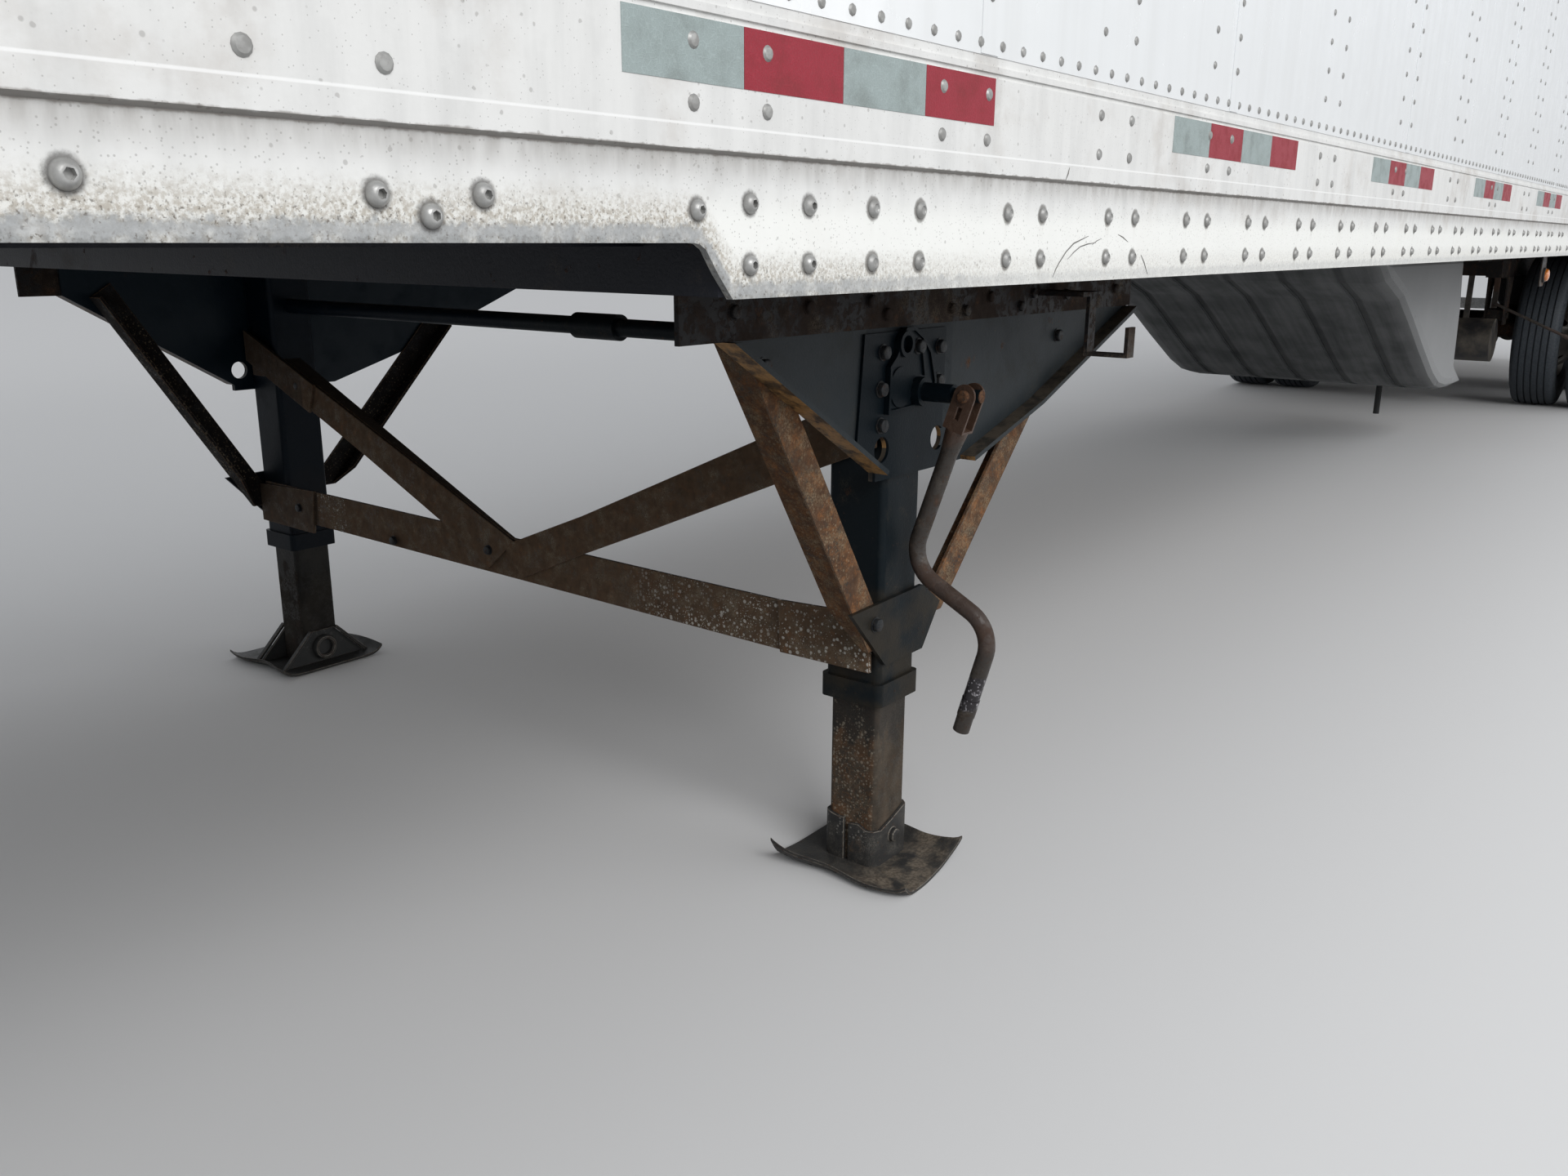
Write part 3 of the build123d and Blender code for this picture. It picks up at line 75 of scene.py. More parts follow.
# The beams under the floor, whose bolts show on the rails
BEAM_PITCH = 0.3048
FIRST_BEAM_X = 4.973
BEAM_BOLT_OFFSET = 0.048
BEAM_BOLT_ROWS = (1.132, 1.0754)
LEDGE_Z = 1.174
# Height of the groove along the rails, along which a thin highlight is painted
FINE_LINE_Z = 1.197

# Button head screws over the legs as (how far ahead of the first beam, height)
SOCKET_HEADS = (
    (0.164, 1.132), (0.2585, 1.132), (0.164, 1.0754), (0.2585, 1.0754), (0.334, 1.125),
    (0.578, 1.131), (0.627, 1.115), (0.672, 1.129), (0.88, 1.134),
)

# The rail's lower edge rises ahead of the landing gear
STEP_START_X = 5.256
STEP_END_X = 5.302
STEP_RISE = 0.052

# The posts inside the side walls, whose rivets show on the sheets
POST_RIVET_OFFSET = 0.052
POST_FIRST_X = 5.687
POST_PITCH_FRONT = 0.4225
POST_PITCH_REAR = 0.6275
POST_CHANGE_X = 3.997
RIVET_PITCH = 0.0525
RIVET_HEIGHT = 0.0026
COLUMN_PITCH = 0.053
LAP_SKIN = 0.0012
LAP_HALF = 0.02
BEAM_RIVET_HEIGHT = 0.0055
SOCKET_HEAD_HEIGHT = 0.0072
BOTTOM_ROW_Z = 1.322
BAND_ROWS = (1.266, 1.215)

# Seams across the roof
SEAM_COUNT = 13
SEAM_FIRST = 0.6
SEAM_PITCH = 1.22
SEAM_SKIN = 0.0002
SEAM_RIVETS = 24

# Reflective tape on the rails' upper band
TAPE_LOW = 1.232
TAPE_HIGH = 1.285
TAPE_LENGTH = 0.63
TAPE_PITCH = 1.2
TAPE_START_X = FIRST_BEAM_X + 0.432
TAPE_BLOCKS = 4
TAPE_SKIN = 0.0006

# Landing gear
LEG_X = 4.42
LEG_Y = 0.899
LOWER_HALF = 0.05

# Grooves down the fairing's ramp, along which shadow and highlight are painted
GROOVE_PITCH = 0.255
GROOVE_REAR_X = -1.4

# Wheels
AXLES = {"front": -4.13, "rear": -5.375}
TYRE_RADIUS = 0.51
TWIN_MIDDLE_Y = 0.9815
TWIN_SPACING = 0.337

# The camera of the photograph
CAMERA_PLACE = (6.2023, 2.0771, 1.1016)
CAMERA_YAW = math.radians(-142.402)
CAMERA_PITCH = math.radians(-15.542)
CAMERA_ROLL = math.radians(0.357)
CAMERA_LENS = 28.96
CAMERA_SENSOR = 36.0
FLOOR_BOUNCE = 0.3


class TrailerSizes(bpy.types.PropertyGroup):
    """Sizes of the small pieces that a user may change."""

    beam_bolt_radius: FloatProperty(
        name="Beam rivet", description="Radius of the rivets that hold the beams", default=0.0094,
        unit="LENGTH"
    )
    sheet_rivet_radius: FloatProperty(
        name="Sheet rivet", description="Radius of the rivets in the sheets", default=0.0062, unit="LENGTH"
    )
    socket_head_radius: FloatProperty(
        name="Socket head", description="Radius of the button head screws over the legs", default=0.0094,
        unit="LENGTH"
    )
    hex_head_radius: FloatProperty(
        name="Hex head", description="Radius of the bolt heads on the landing gear", default=0.0112,
        unit="LENGTH"
    )
    floor_radius: FloatProperty(
        name="Floor", description="Half the width of the floor under the trailer", default=60.0,
        unit="LENGTH"
    )


class TrailerColours(bpy.types.PropertyGroup):
    """Colours that a user may change."""

    rail: FloatVectorProperty(
        name="Rail", description="Weathered rail", default=(0.785, 0.785, 0.77), subtype="COLOR", size=3
    )
    sheet: FloatVectorProperty(
        name="Sheet", description="Painted sheet of the box", default=(0.895, 0.92, 0.935), subtype="COLOR",
        size=3
    )
    tape_pale: FloatVectorProperty(
        name="Pale tape", description="Pale reflective tape", default=(0.315, 0.375, 0.37), subtype="COLOR",
        size=3
    )
    tape_red: FloatVectorProperty(
        name="Red tape", description="Red reflective tape", default=(0.29, 0.01, 0.026), subtype="COLOR",
        size=3
    )
    gear: FloatVectorProperty(
        name="Landing gear", description="Old paint of the landing gear", default=(0.006, 0.01, 0.013),
        subtype="COLOR", size=3
    )
    floor: FloatVectorProperty(
        name="Floor", description="Floor under the trailer", default=(0.72, 0.72, 0.72), subtype="COLOR",
        size=3
    )


def sizes():
    return bpy.context.scene.trailer_sizes


def colours():
    return bpy.context.scene.trailer_colours


# Shader nodes


class Signal:
    """What a node gives, with the signs of arithmetic. The sign | takes the greater of two."""

    def __init__(self, graph, socket):
        self.graph = graph
        self.socket = socket

    def __add__(self, other):
        return self.graph.math("ADD", self, other)

    def __sub__(self, other):
        return self.graph.math("SUBTRACT", self, other)

    def __rsub__(self, other):
        return self.graph.math("SUBTRACT", other, self)

    def __mul__(self, other):
        return self.graph.math("MULTIPLY", self, other)

    def __truediv__(self, other):
        return self.graph.math("DIVIDE", self, other)

    def __mod__(self, other):
        return self.graph.math("FLOORED_MODULO", self, other)

    def __or__(self, other):
        return self.graph.math("MAXIMUM", self, other)

    def __lt__(self, other):
        return self.graph.math("LESS_THAN", self, other)

    def __gt__(self, other):
        return self.graph.math("GREATER_THAN", self, other)

    def __abs__(self):
        return self.graph.math("ABSOLUTE", self)


class Graph:
    """Adds nodes to one node tree and links them, in few words."""

    def __init__(self, tree):
        self.tree = tree

    def put(self, socket, value):
        if isinstance(value, Signal):
            self.tree.links.new(value.socket, socket)
        elif socket.type == "RGBA" and len(value) == 3:
            socket.default_value = (*value, 1.0)
        else:
            socket.default_value = value

    def add(self, kind, values=None, **settings):
        node = self.tree.nodes.new(kind)
        for name, value in settings.items():
            setattr(node, name, value)
        for name, value in (values or {}).items():
            self.put(node.inputs[name], value)
        return node

    def signals(self, kind, values=None, **settings):
        """What a new node gives, in the order of its outputs."""
        return [Signal(self, socket) for socket in self.add(kind, values, **settings).outputs]

    def math(self, operation, *values):
        return self.signals("ShaderNodeMath", dict(enumerate(values)), operation=operation)[0]

    def mix(self, factor, low, high):
        return self.signals("ShaderNodeMix", {0: factor, 6: low, 7: high}, data_type="RGBA")[2]

    def blend(self, factor, low, high):
        return self.signals("ShaderNodeMix", {0: factor, 2: low, 3: high}, data_type="FLOAT")[0]

    def between(self, value, low, high):
        """0 below low and 1 above high, smooth in between."""
        values = {"Value": value, "From Min": low, "From Max": high}
        return self.signals("ShaderNodeMapRange", values, interpolation_type="SMOOTHSTEP")[0]

    def place(self):
        return Signal(self, self.add("ShaderNodeTexCoord").outputs["Object"])

    def normal(self):
        return Signal(self, self.add("ShaderNodeNewGeometry").outputs["Normal"])

    def split(self, vector):
        return self.signals("ShaderNodeSeparateXYZ", {0: vector})

    def axes(self):
        return self.split(self.place())

    def stretched(self, x, y, z):
        """The object's own coordinates, each axis multiplied."""
        scaled = [part * factor for part, factor in zip(self.axes(), (x, y, z))]
        return self.signals("ShaderNodeCombineXYZ", dict(enumerate(scaled)))[0]

    def noise(self, vector, scale, detail=6.0, roughness=0.55):
        values = {"Vector": vector, "Scale": scale, "Detail": detail, "Roughness": roughness}
        return self.signals("ShaderNodeTexNoise", values)[0]

    def grain(self, scale, **more):
        return self.noise(self.place(), scale, **more)

    def runs(self, stretch, **more):
        return self.noise(self.stretched(*stretch), 1.0, **more)

    def cells(self, scale, feature="F1"):
        return self.signals(
            "ShaderNodeTexVoronoi", {"Vector": self.place(), "Scale": scale}, feature=feature,
        )

    def use(self, group, **values):
        """Places an effect and returns what it gives, in the order of its outputs."""
        values = {name.replace("_", " "): value for name, value in values.items()}
        return self.signals("ShaderNodeGroup", values, node_tree=bpy.data.node_groups[group])

    def mask(self, group, **values):
        return self.use(group, **values)[0]

    def rust(self, paint, dark, bright, dust, *shares):
        """Starts the colour with the Rust effect. The shares are of rust, bright rust and dust,
        with the effect's scale last."""
        values = {"Paint": paint, "Dark_rust": dark, "Bright_rust": bright, "Dust": dust}
        values.update(zip(("Rusty", "Bright", "Dusty", "Scale"), shares))
        self.colour, rough, relief = self.use("Rust", **values)
        return rough, relief

    def coat(self, mask, colour):
        """Lays a colour over the material's colour so far, by the mask."""
        self.colour = self.mix(mask, self.colour, colour)

    def shade(self, roughness, height=None, relief=0.0006, metallic=0.0, **more):
        """Gives the material's own shader its colour so far and the rest."""
        values = {"Base Color": self.colour, "Roughness": roughness, "Metallic": metallic}
        for name, value in more.items():
            values[name.replace("_", " ")] = value
        if height is not None:
            bump = {"Strength": 1.0, "Distance": relief, "Height": height}
            values["Normal"] = self.signals("ShaderNodeBump", bump)[0]
        for name, value in values.items():
            self.put(self.shader.inputs[name], value)
        self.material.diffuse_color = (0.5, 0.5, 0.5, 1.0)


def patches_effect(graph, scale, coverage, softness, shift):
    """Soft-edged blotches of one size."""
    away = graph.signals("ShaderNodeCombineXYZ", {0: shift, 2: shift})[0]
    place = graph.signals("ShaderNodeVectorMath", {0: graph.place(), 1: away}, operation="ADD")[0]
    field = graph.noise(place, scale, detail=9.0, roughness=0.62)
    edge = graph.blend(coverage, 0.74, 0.26)
    return {"Mask": graph.between(field, edge - softness, edge + softness)}


def specks_effect(graph, scale, coverage, size):
    """Small irregular dots."""
    distance, colour = graph.cells(scale)[:2]
    pick, share, _ = graph.split(colour)
    chosen = pick < coverage
    size = size * share
    inside = 1.0 - graph.between(distance, size * 0.6, size)
    return {"Mask": chosen * inside}


def streaks_effect(graph, across, down, coverage, softness):
    """Runs of dirt that go down the surface."""
    vector = graph.stretched(across, across, down)
    edge = graph.blend(coverage, 0.74, 0.26)
    field = graph.noise(vector, 1.0, detail=5.0)
    return {"Mask": graph.between(field, edge - softness, edge + softness)}


def level_effect(graph, low, high, fade, ragged, scale):
    """1 between two heights, with ragged ends."""
    height = graph.axes()[2]
    shake = graph.grain(scale) - 0.5
    height = shake * ragged + height
    rise = graph.between(height, low - fade, low)
    fall = graph.between(height, high, high + fade)
    return {"Mask": rise * (1.0 - fall)}


def row_marks_effect(graph, pitch, start, offset, height, radius, width, run):
    """Rings and runs of dirt at a row of fasteners that come in pairs along the trailer."""
    x, _, z = graph.axes()
    half = pitch * 0.5
    along = x - start + half
    along = along % pitch - half
    along = abs(abs(along) - offset)
    up = z - height
    far = graph.math("SQRT", along * along + up * up)
    shake = graph.grain(140.0) * width
    edge = radius + shake
    ring = 1.0 - graph.between(far, edge, edge + 0.004)
    narrow = 1.0 - graph.between(along, 0.002, radius + 0.002)
    below = graph.between(up, run * -1.0, 0.0)
    below = below * (up < 0.0)
    uneven = graph.runs((90.0, 90.0, 6.0))
    runs = narrow * below * graph.between(uneven, 0.4, 0.65)
    return {"Ring": ring, "Runs": runs}


def spot_effect(graph, place_x, place_z, radius, width):
    """Soft uneven stain round one fastener."""
    x, _, z = graph.axes()
    across = x - place_x
    up = z - place_z
    far = graph.math("SQRT", across * across + up * up)
    shake = graph.grain(260.0, detail=5.0, roughness=0.7) - 0.5
    far = shake * width + far
    edge = radius + width
    return {"Mask": 1.0 - graph.between(far, radius, edge)}


def rust_effect(graph, paint, dark_rust, bright_rust, dust, rusty, bright, dusty, scale):
    """Old paint with rust coming through and dust lying on it."""
    wide = graph.mask("Patches", Scale=scale, Coverage=rusty, Softness=0.05)
    fine = graph.mask("Patches", Scale=scale * 7.0, Coverage=rusty, Softness=0.04, Shift=3.0)
    rust = wide | fine * 0.75
    bright = graph.mask("Patches", Scale=scale * 2.3, Coverage=bright, Softness=0.12, Shift=7.0)
    grain = graph.grain(260.0, detail=3.0)
    bright = bright * graph.between(grain, 0.25, 0.7)
    lying = graph.mask("Patches", Scale=scale * 1.4, Coverage=dusty, Softness=0.16, Shift=11.0)
    lying = lying * graph.between(graph.grain(420.0, detail=2.0), 0.3, 0.75)
    rusted = graph.mix(bright, dark_rust, bright_rust)
    mottle = graph.grain(55.0, detail=8.0) * 1.1 + 0.42
    rusted = graph.signals("ShaderNodeHueSaturation", {"Value": mottle, "Color": rusted})[0]
    colour = graph.mix(lying * 0.8, graph.mix(rust, paint, rusted), dust)
    rough = graph.blend(rust | lying, 0.42, 0.9)
    return {"Colour": colour, "Roughness": rough, "Height": rust * 0.5 + grain * 0.3 + mottle * 0.3}


# Each effect's function, and its inputs with their defaults in the order of its arguments
EFFECTS = {
    "Patches": (patches_effect, {"Scale": 5.0, "Coverage": 0.5, "Softness": 0.06, "Shift": 0.0}),
    "Specks": (specks_effect, {"Scale": 120.0, "Coverage": 0.3, "Size": 0.35}),
    "Streaks": (streaks_effect, {"Across": 30.0, "Down": 1.5, "Coverage": 0.5, "Softness": 0.12}),
    "Level": (level_effect, {"Low": 0.0, "High": 1.0, "Fade": 0.01, "Ragged": 0.01, "Scale": 60.0}),
    "Row marks": (
        row_marks_effect,
        {
            "Pitch": BEAM_PITCH, "Start": FIRST_BEAM_X, "Offset": BEAM_BOLT_OFFSET, "Height": 1.1,
            "Radius": 0.0088, "Width": 0.0045, "Run": 0.05,
        },
    ),
    "Spot": (spot_effect, {"X": 0.0, "Z": 0.0, "Radius": 0.01, "Width": 0.005}),
    "Rust": (
        rust_effect,
        {
            "Paint": (0.03, 0.03, 0.035), "Dark rust": (0.09, 0.045, 0.028),
            "Bright rust": (0.28, 0.12, 0.05),
            "Dust": (0.36, 0.3, 0.22), "Rusty": 0.5, "Bright": 0.35, "Dusty": 0.25, "Scale": 9.0,
        },
    ),
}


def make_effect(name):
    """Builds an effect as a node group with the inputs of the table and the outputs of its function."""
    make, inputs = EFFECTS[name]
    graph = Graph(bpy.data.node_groups.new(name, "ShaderNodeTree"))
    face = graph.tree.interface
    for label, default in inputs.items():
        colour = isinstance(default, tuple)
        kind = "NodeSocketColor" if colour else "NodeSocketFloat"
        socket = face.new_socket(name=label, in_out="INPUT", socket_type=kind)
        socket.default_value = (*default, 1.0) if colour else default
    given = graph.signals("NodeGroupInput")[: len(inputs)]
    results = make(graph, *given)
    for label, signal in results.items():
        kind = "NodeSocketColor" if signal.socket.type == "RGBA" else "NodeSocketFloat"
        face.new_socket(name=label, in_out="OUTPUT", socket_type=kind)
    graph.add("NodeGroupOutput", results)


def new_material(name):
    """The graph of an empty material, with its shader and its output."""
    made = bpy.data.materials.new(name)
    made.use_nodes = True
    made.node_tree.nodes.clear()
    graph = Graph(made.node_tree)
    graph.material = made
    graph.shader = graph.add("ShaderNodeBsdfPrincipled")
    graph.add("ShaderNodeOutputMaterial", {"Surface": Signal(graph, graph.shader.outputs[0])})
    return graph


def rail_finish(graph):
    """Weathered rail: pits, a dark ragged line at the ledge with painted shade below it, a painted
    highlight along its groove, a grimed band along its lower edge and marks at its rivets.
    """
    x, _, z = graph.axes()
    runs = graph.runs((26.0, 26.0, 3.5), detail=7.0, roughness=0.6)
    graph.colour = graph.mix(
        graph.between(runs, 0.34, 0.76), colours().rail, [c * 0.87 for c in colours().rail]
    )
    cloud = graph.grain(9.0, detail=8.0, roughness=0.6)
    graph.coat(graph.between(cloud, 0.5, 0.72) * 0.45, (0.5, 0.46, 0.42))
    bright = graph.between(graph.grain(34.0, detail=6.0), 0.5, 0.7)
    graph.coat(bright * 0.5, (0.8, 0.8, 0.785))
    lower = 1.0 - graph.between(z, LEDGE_Z - 0.06, LEDGE_Z - 0.02)
    graph.coat(lower * 0.84, (0.93, 0.935, 0.9))
    for scale, coverage, amount in ((165.0, 0.2, 0.42), (300.0, 0.34, 0.45)):
        pits = graph.mask("Specks", Scale=scale, Coverage=coverage, Size=0.42)
        graph.coat(pits * amount, (0.26, 0.245, 0.23))
    # Painted shade below the ledge, darkest just under it
    shade = graph.between(z, LEDGE_Z - 0.03, LEDGE_Z - 0.001) * (z < LEDGE_Z)
    uneven = graph.between(graph.runs((60.0, 60.0, 14.0)), 0.25, 0.75)
    shade = shade * (uneven * 0.35 + 0.22)
    graph.coat(shade, (0.22, 0.2, 0.18))
    line = graph.mask("Level", Low=LEDGE_Z, High=LEDGE_Z + 0.0025, Fade=0.0022, Ragged=0.006, Scale=70.0)
    graph.coat(line * 0.62, (0.11, 0.085, 0.065))
    # Painted highlight: a thin bright line along the groove at FINE_LINE_Z
    line = graph.mask(
        "Level", Low=FINE_LINE_Z, High=FINE_LINE_Z + 0.001, Fade=0.0012, Ragged=0.0, Scale=70.0,
    )
    graph.coat(line * 0.75, (0.95, 0.95, 0.94))
    rise = (x - STEP_START_X) / (STEP_END_X - STEP_START_X)
    rise = graph.math("MINIMUM", rise | 0.0, 1.0) * STEP_RISE
    above = z - (rise + RAIL_BOTTOM)
    shake = graph.grain(95.0, detail=8.0, roughness=0.75) - 0.5
    ahead = graph.blend(graph.between(x, 4.6, 5.3), 0.3, 1.0)
    above = shake * 0.03 + above
    tan = 1.0 - graph.between(above, 0.02, 0.05)
    fleck = graph.between(graph.grain(210.0, detail=5.0, roughness=0.65), 0.4, 0.6)
    strength = ahead * (fleck * 0.46 + 0.14)
    graph.coat(tan * strength, (0.26, 0.2, 0.125))
    grey = 1.0 - graph.between(above, 0.01, 0.02)
    patchy = graph.between(graph.grain(42.0, detail=6.0), 0.34, 0.56)
    grey = grey * ahead * (patchy * 0.6 + 0.4)
    graph.coat(grey * 0.76, (0.22, 0.235, 0.247))
    black = graph.between(graph.grain(330.0, detail=4.0, roughness=0.6), 0.56, 0.68)
    black = black * tan * ahead
    graph.coat(black * 0.75, (0.11, 0.09, 0.07))
    lump = graph.between(above, 0.003, 0.006) * (1.0 - graph.between(above, 0.01, 0.015))
    graph.coat(lump * ahead * 0.45, (0.5, 0.51, 0.515))
    for height in BEAM_BOLT_ROWS:
        ring, runs = graph.use("Row marks", Height=height, Run=0.045)
        behind = x < FIRST_BEAM_X + BEAM_PITCH / 4
        graph.coat(ring * behind * 0.75, (0.1, 0.09, 0.08))
        graph.coat(runs * behind * 0.2, (0.24, 0.2, 0.15))
    for ahead_of_beam, height in SOCKET_HEADS:
        across = FIRST_BEAM_X + ahead_of_beam
        stain = graph.mask("Spot", X=across, Z=height, Radius=sizes().socket_head_radius, Width=0.0055)
        graph.coat(stain * 0.8, (0.095, 0.09, 0.085))
    rough = graph.blend(graph.between(cloud, 0.35, 0.7), 0.5, 0.72)
    relief = graph.grain(240.0, detail=4.0) * 0.3 + tan * shake
    graph.shade(rough, relief, 0.0006, Specular_IOR_Level=0.3)


def sheet_finish(graph):
    """Glossy painted sheet with faint runs of dirt below its rivets."""
    runs = graph.mask("Streaks", Across=22.0, Down=0.7, Coverage=0.34, Softness=0.2)
    graph.colour = graph.mix(runs * 0.1, colours().sheet, (0.42, 0.4, 0.36))
    low = graph.mask("Level", Low=RAIL_TOP - 0.01, High=RAIL_TOP + 0.03, Fade=0.35, Ragged=0.08, Scale=8.0)
    graph.coat(low * 0.12, (0.4, 0.37, 0.32))
    rough = graph.blend(graph.between(graph.grain(14.0), 0.35, 0.7), 0.16, 0.28)
    height = graph.grain(1.7, detail=2.0)
    graph.shade(rough, height, 0.002, Coat_Weight=0.3)


def rusted_finish(graph, paint, rusty, bright, dusty, scale, **tints):
    """Steel under old paint. rusty, bright and dusty are the shares of rust, orange rust and dust."""
    x, y, z = graph.axes()
    dark = tints.get("dark", (0.055, 0.032, 0.023))
    orange = tints.get("orange", (0.2, 0.095, 0.045))
    dust = tints.get("dust", (0.2, 0.165, 0.125))
    rough, relief = graph.rust(paint, dark, orange, dust, rusty, bright, dusty, scale)
    if "flange" in tints:
        _, side, up = graph.split(graph.normal())
        bent = abs(side) < 0.5
        flake = graph.mask("Patches", Scale=34.0, Coverage=0.56, Softness=0.1, Shift=5.0)
        down = up < 0.0
        rusted = graph.mix(flake, (0.04, 0.026, 0.018), tints["flange"])
        dusty = graph.mix(flake, (0.035, 0.032, 0.028), (0.085, 0.07, 0.054))
        fine = graph.between(graph.grain(160.0, detail=4.0), 0.3, 0.62)
        rusted = graph.mix(fine * 0.4, rusted, (0.19, 0.125, 0.07))
        pad = graph.between(abs(x - LEG_X), 0.128, 0.136)
        pad = (1.0 - pad) * (z > 0.6)
        graph.coat(pad * 0.72, (0.0075, 0.0125, 0.0165))
        graph.coat(bent, graph.mix(down, dusty, rusted))
    if "low_dust" in tints:
        low = graph.mask("Level", Low=0.3, High=0.5, Fade=0.04, Ragged=0.08, Scale=14.0)
        worn = graph.mask("Patches", Scale=11.0, Coverage=0.6, Softness=0.14, Shift=9.0)
        graph.coat(low * worn * 0.8, tints["low_dust"])
    # Painted shade: the far side of the trailer (y < 0) darkened
    if "far_side" in tints:
        graph.coat((y < 0.0) * tints.get("far_share", 0.75), tints["far_side"])
    if "upper_face" in tints:
        upward = graph.split(graph.normal())[2]
        graph.coat((upward > 0.5) * 0.85, tints["upper_face"])
        graph.coat((y < -0.7) * 0.5, tints["far_end"])
    if "specks" in tints:
        share, amount, shade, low, high = tints["specks"]
        area = graph.mask("Patches", Scale=6.0, Coverage=share, Softness=0.16, Shift=2.0)
        area = area * graph.between(z, low, low + 0.03)
        area = area * (1.0 - graph.between(z, high - 0.03, high))
        if "far_end" in tints:
            beside_lap = (y > -0.7) * (y < -0.585)
            area = area * (graph.between(y, 0.34, 0.5) | beside_lap)
        dots = graph.mask("Specks", Scale=125.0, Coverage=0.85, Size=0.56)
        small = graph.mask("Specks", Scale=330.0, Coverage=0.55, Size=0.5)
        graph.coat((dots | small) * area * amount, shade)
    graph.shade(rough, relief, 0.0009, Specular_IOR_Level=tints.get("shine", 0.25))


def greased_finish(graph):
    """Sliding leg: dark grease above, rust with pale flecks below, a smoother tan outer face, and painted
    shade on the far leg.
    """
    _, y, z = graph.axes()
    side = graph.split(graph.normal())[1]
    side = graph.between(abs(side), 0.4, 0.7)
    paints = (0.04, 0.031, 0.023), (0.08, 0.048, 0.029), (0.17, 0.085, 0.043), (0.135, 0.112, 0.082)
    worn, relief = graph.rust(*paints, 0.5, 0.35, 0.42, 20.0)
    cloud = graph.between(graph.runs((16.0, 16.0, 9.0), detail=6.0), 0.35, 0.65)
    smooth = graph.mix(cloud, (0.04, 0.034, 0.027), (0.085, 0.07, 0.054))
    graph.coat(side * 0.8, smooth)
    ragged = graph.runs((34.0, 34.0, 12.0), detail=6.0)
    height = ragged * 0.22 + z
    grease = graph.between(height, 0.345, 0.375)
    graph.coat(grease * graph.blend(side, 0.85, 0.6), (0.016, 0.015, 0.0135))
    area = 1.0 - graph.between(height, 0.36, 0.42)
    area = area * graph.blend(side, 1.0, 0.15)
    dots = graph.mask("Specks", Scale=150.0, Coverage=0.8, Size=0.55)
    small = graph.mask("Specks", Scale=300.0, Coverage=0.65, Size=0.52)
    graph.coat((dots | small) * area * 0.5, (0.32, 0.28, 0.22))
    # Painted shade: the far leg (y < 0) darker
    far = graph.mix(cloud, (0.0095, 0.0095, 0.0095), (0.02, 0.019, 0.017))
    graph.coat((y < 0.0) * 0.88, far)
    rough = graph.blend(grease, worn, 0.5)
    graph.shade(rough, relief, 0.0009, Specular_IOR_Level=0.18)


def shoe_finish(graph):
    """Bent shoe: dark steel, flecked on its socket, with tan dust on the outer part of its plate, and
    painted shade on the far shoe.
    """
    _, y, z = graph.axes()
    up = graph.split(graph.normal())[2]
    flat = graph.between(up, 0.45, 0.75) * (z < 0.05)
    paints = (0.032, 0.0315, 0.031), (0.06, 0.045, 0.034), (0.12, 0.07, 0.042), (0.125, 0.115, 0.098)
    rough, relief = graph.rust(*paints, 0.22, 0.25, 0.4, 18.0)
    heap = graph.between(graph.grain(24.0, detail=7.0, roughness=0.6), 0.36, 0.58)
    outer = graph.between(y, 0.9, 0.99)
    heap = heap * outer * flat
    grit = graph.between(graph.grain(190.0, detail=3.0), 0.35, 0.65)
    graph.coat(heap * 0.9, graph.mix(grit, (0.105, 0.085, 0.066), (0.21, 0.175, 0.135)))
    wall = graph.between(z, 0.03, 0.06) * (1.0 - graph.between(y, 0.93, 0.96))
    dots = graph.mask("Specks", Scale=170.0, Coverage=0.85, Size=0.55)
    graph.coat(dots * wall * 0.45, (0.3, 0.285, 0.26))
    # Painted shade: the far shoe (y < 0) darker
    graph.coat((y < 0.0) * 0.8, (0.031, 0.032, 0.032))
    graph.shade(rough, relief, 0.0009, Specular_IOR_Level=0.2)


def crank_finish(graph):
    """Dull brown rod, redder at its bends, with a dark shiny sleeve near its lower end, on which glints are
    painted.
    """
    _, _, z = graph.axes()
    paints = (0.032, 0.026, 0.0215), (0.042, 0.03, 0.0225), (0.1, 0.05, 0.03), (0.17, 0.145, 0.115)
    worn, relief = graph.rust(*paints, 0.36, 0.3, 0.2, 22.0)
    for low, high, shade, amount in (
        (0.45, 0.56, (0.07, 0.038, 0.027), 0.4), (0.8, 0.9, (0.105, 0.05, 0.028), 0.55),
    ):
        red = graph.mask("Level", Low=low, High=high, Fade=0.03, Ragged=0.05, Scale=30.0)
        graph.coat(red * amount, shade)
    sleeve = graph.mask("Level", Low=0.334, High=0.39, Fade=0.006, Ragged=0.012, Scale=60.0)
    graph.coat(sleeve, (0.02, 0.017, 0.02))
    # Painted highlights: pale glints on the sleeve
    broad_glint = graph.between(graph.grain(150.0, detail=3.0), 0.55, 0.7)
    glint = graph.mask("Specks", Scale=170.0, Coverage=0.6, Size=0.5)
    glint = (glint | broad_glint) * sleeve
    graph.coat(glint * 0.8, (0.45, 0.43, 0.46))
    rough = graph.blend(sleeve, worn, 0.16)
    graph.shade(rough, relief, 0.0007, Specular_IOR_Level=0.45)


def bare_metal_finish(graph, colour, roughness, dirt=0.25, scale=30.0):
    """Bare or plated metal, unevenly dulled."""
    dull = graph.mask("Patches", Scale=scale, Coverage=0.5, Softness=0.18)
    graph.colour = graph.mix(dull * dirt, colour, (0.1, 0.085, 0.065))
    rough = graph.blend(dull, roughness, min(1.0, roughness + 0.25))
    metal = graph.blend(dull * dirt, 1.0, 0.2)
    height = graph.grain(6 * scale, detail=3.0)
    graph.shade(rough, height, 0.0002, metal)


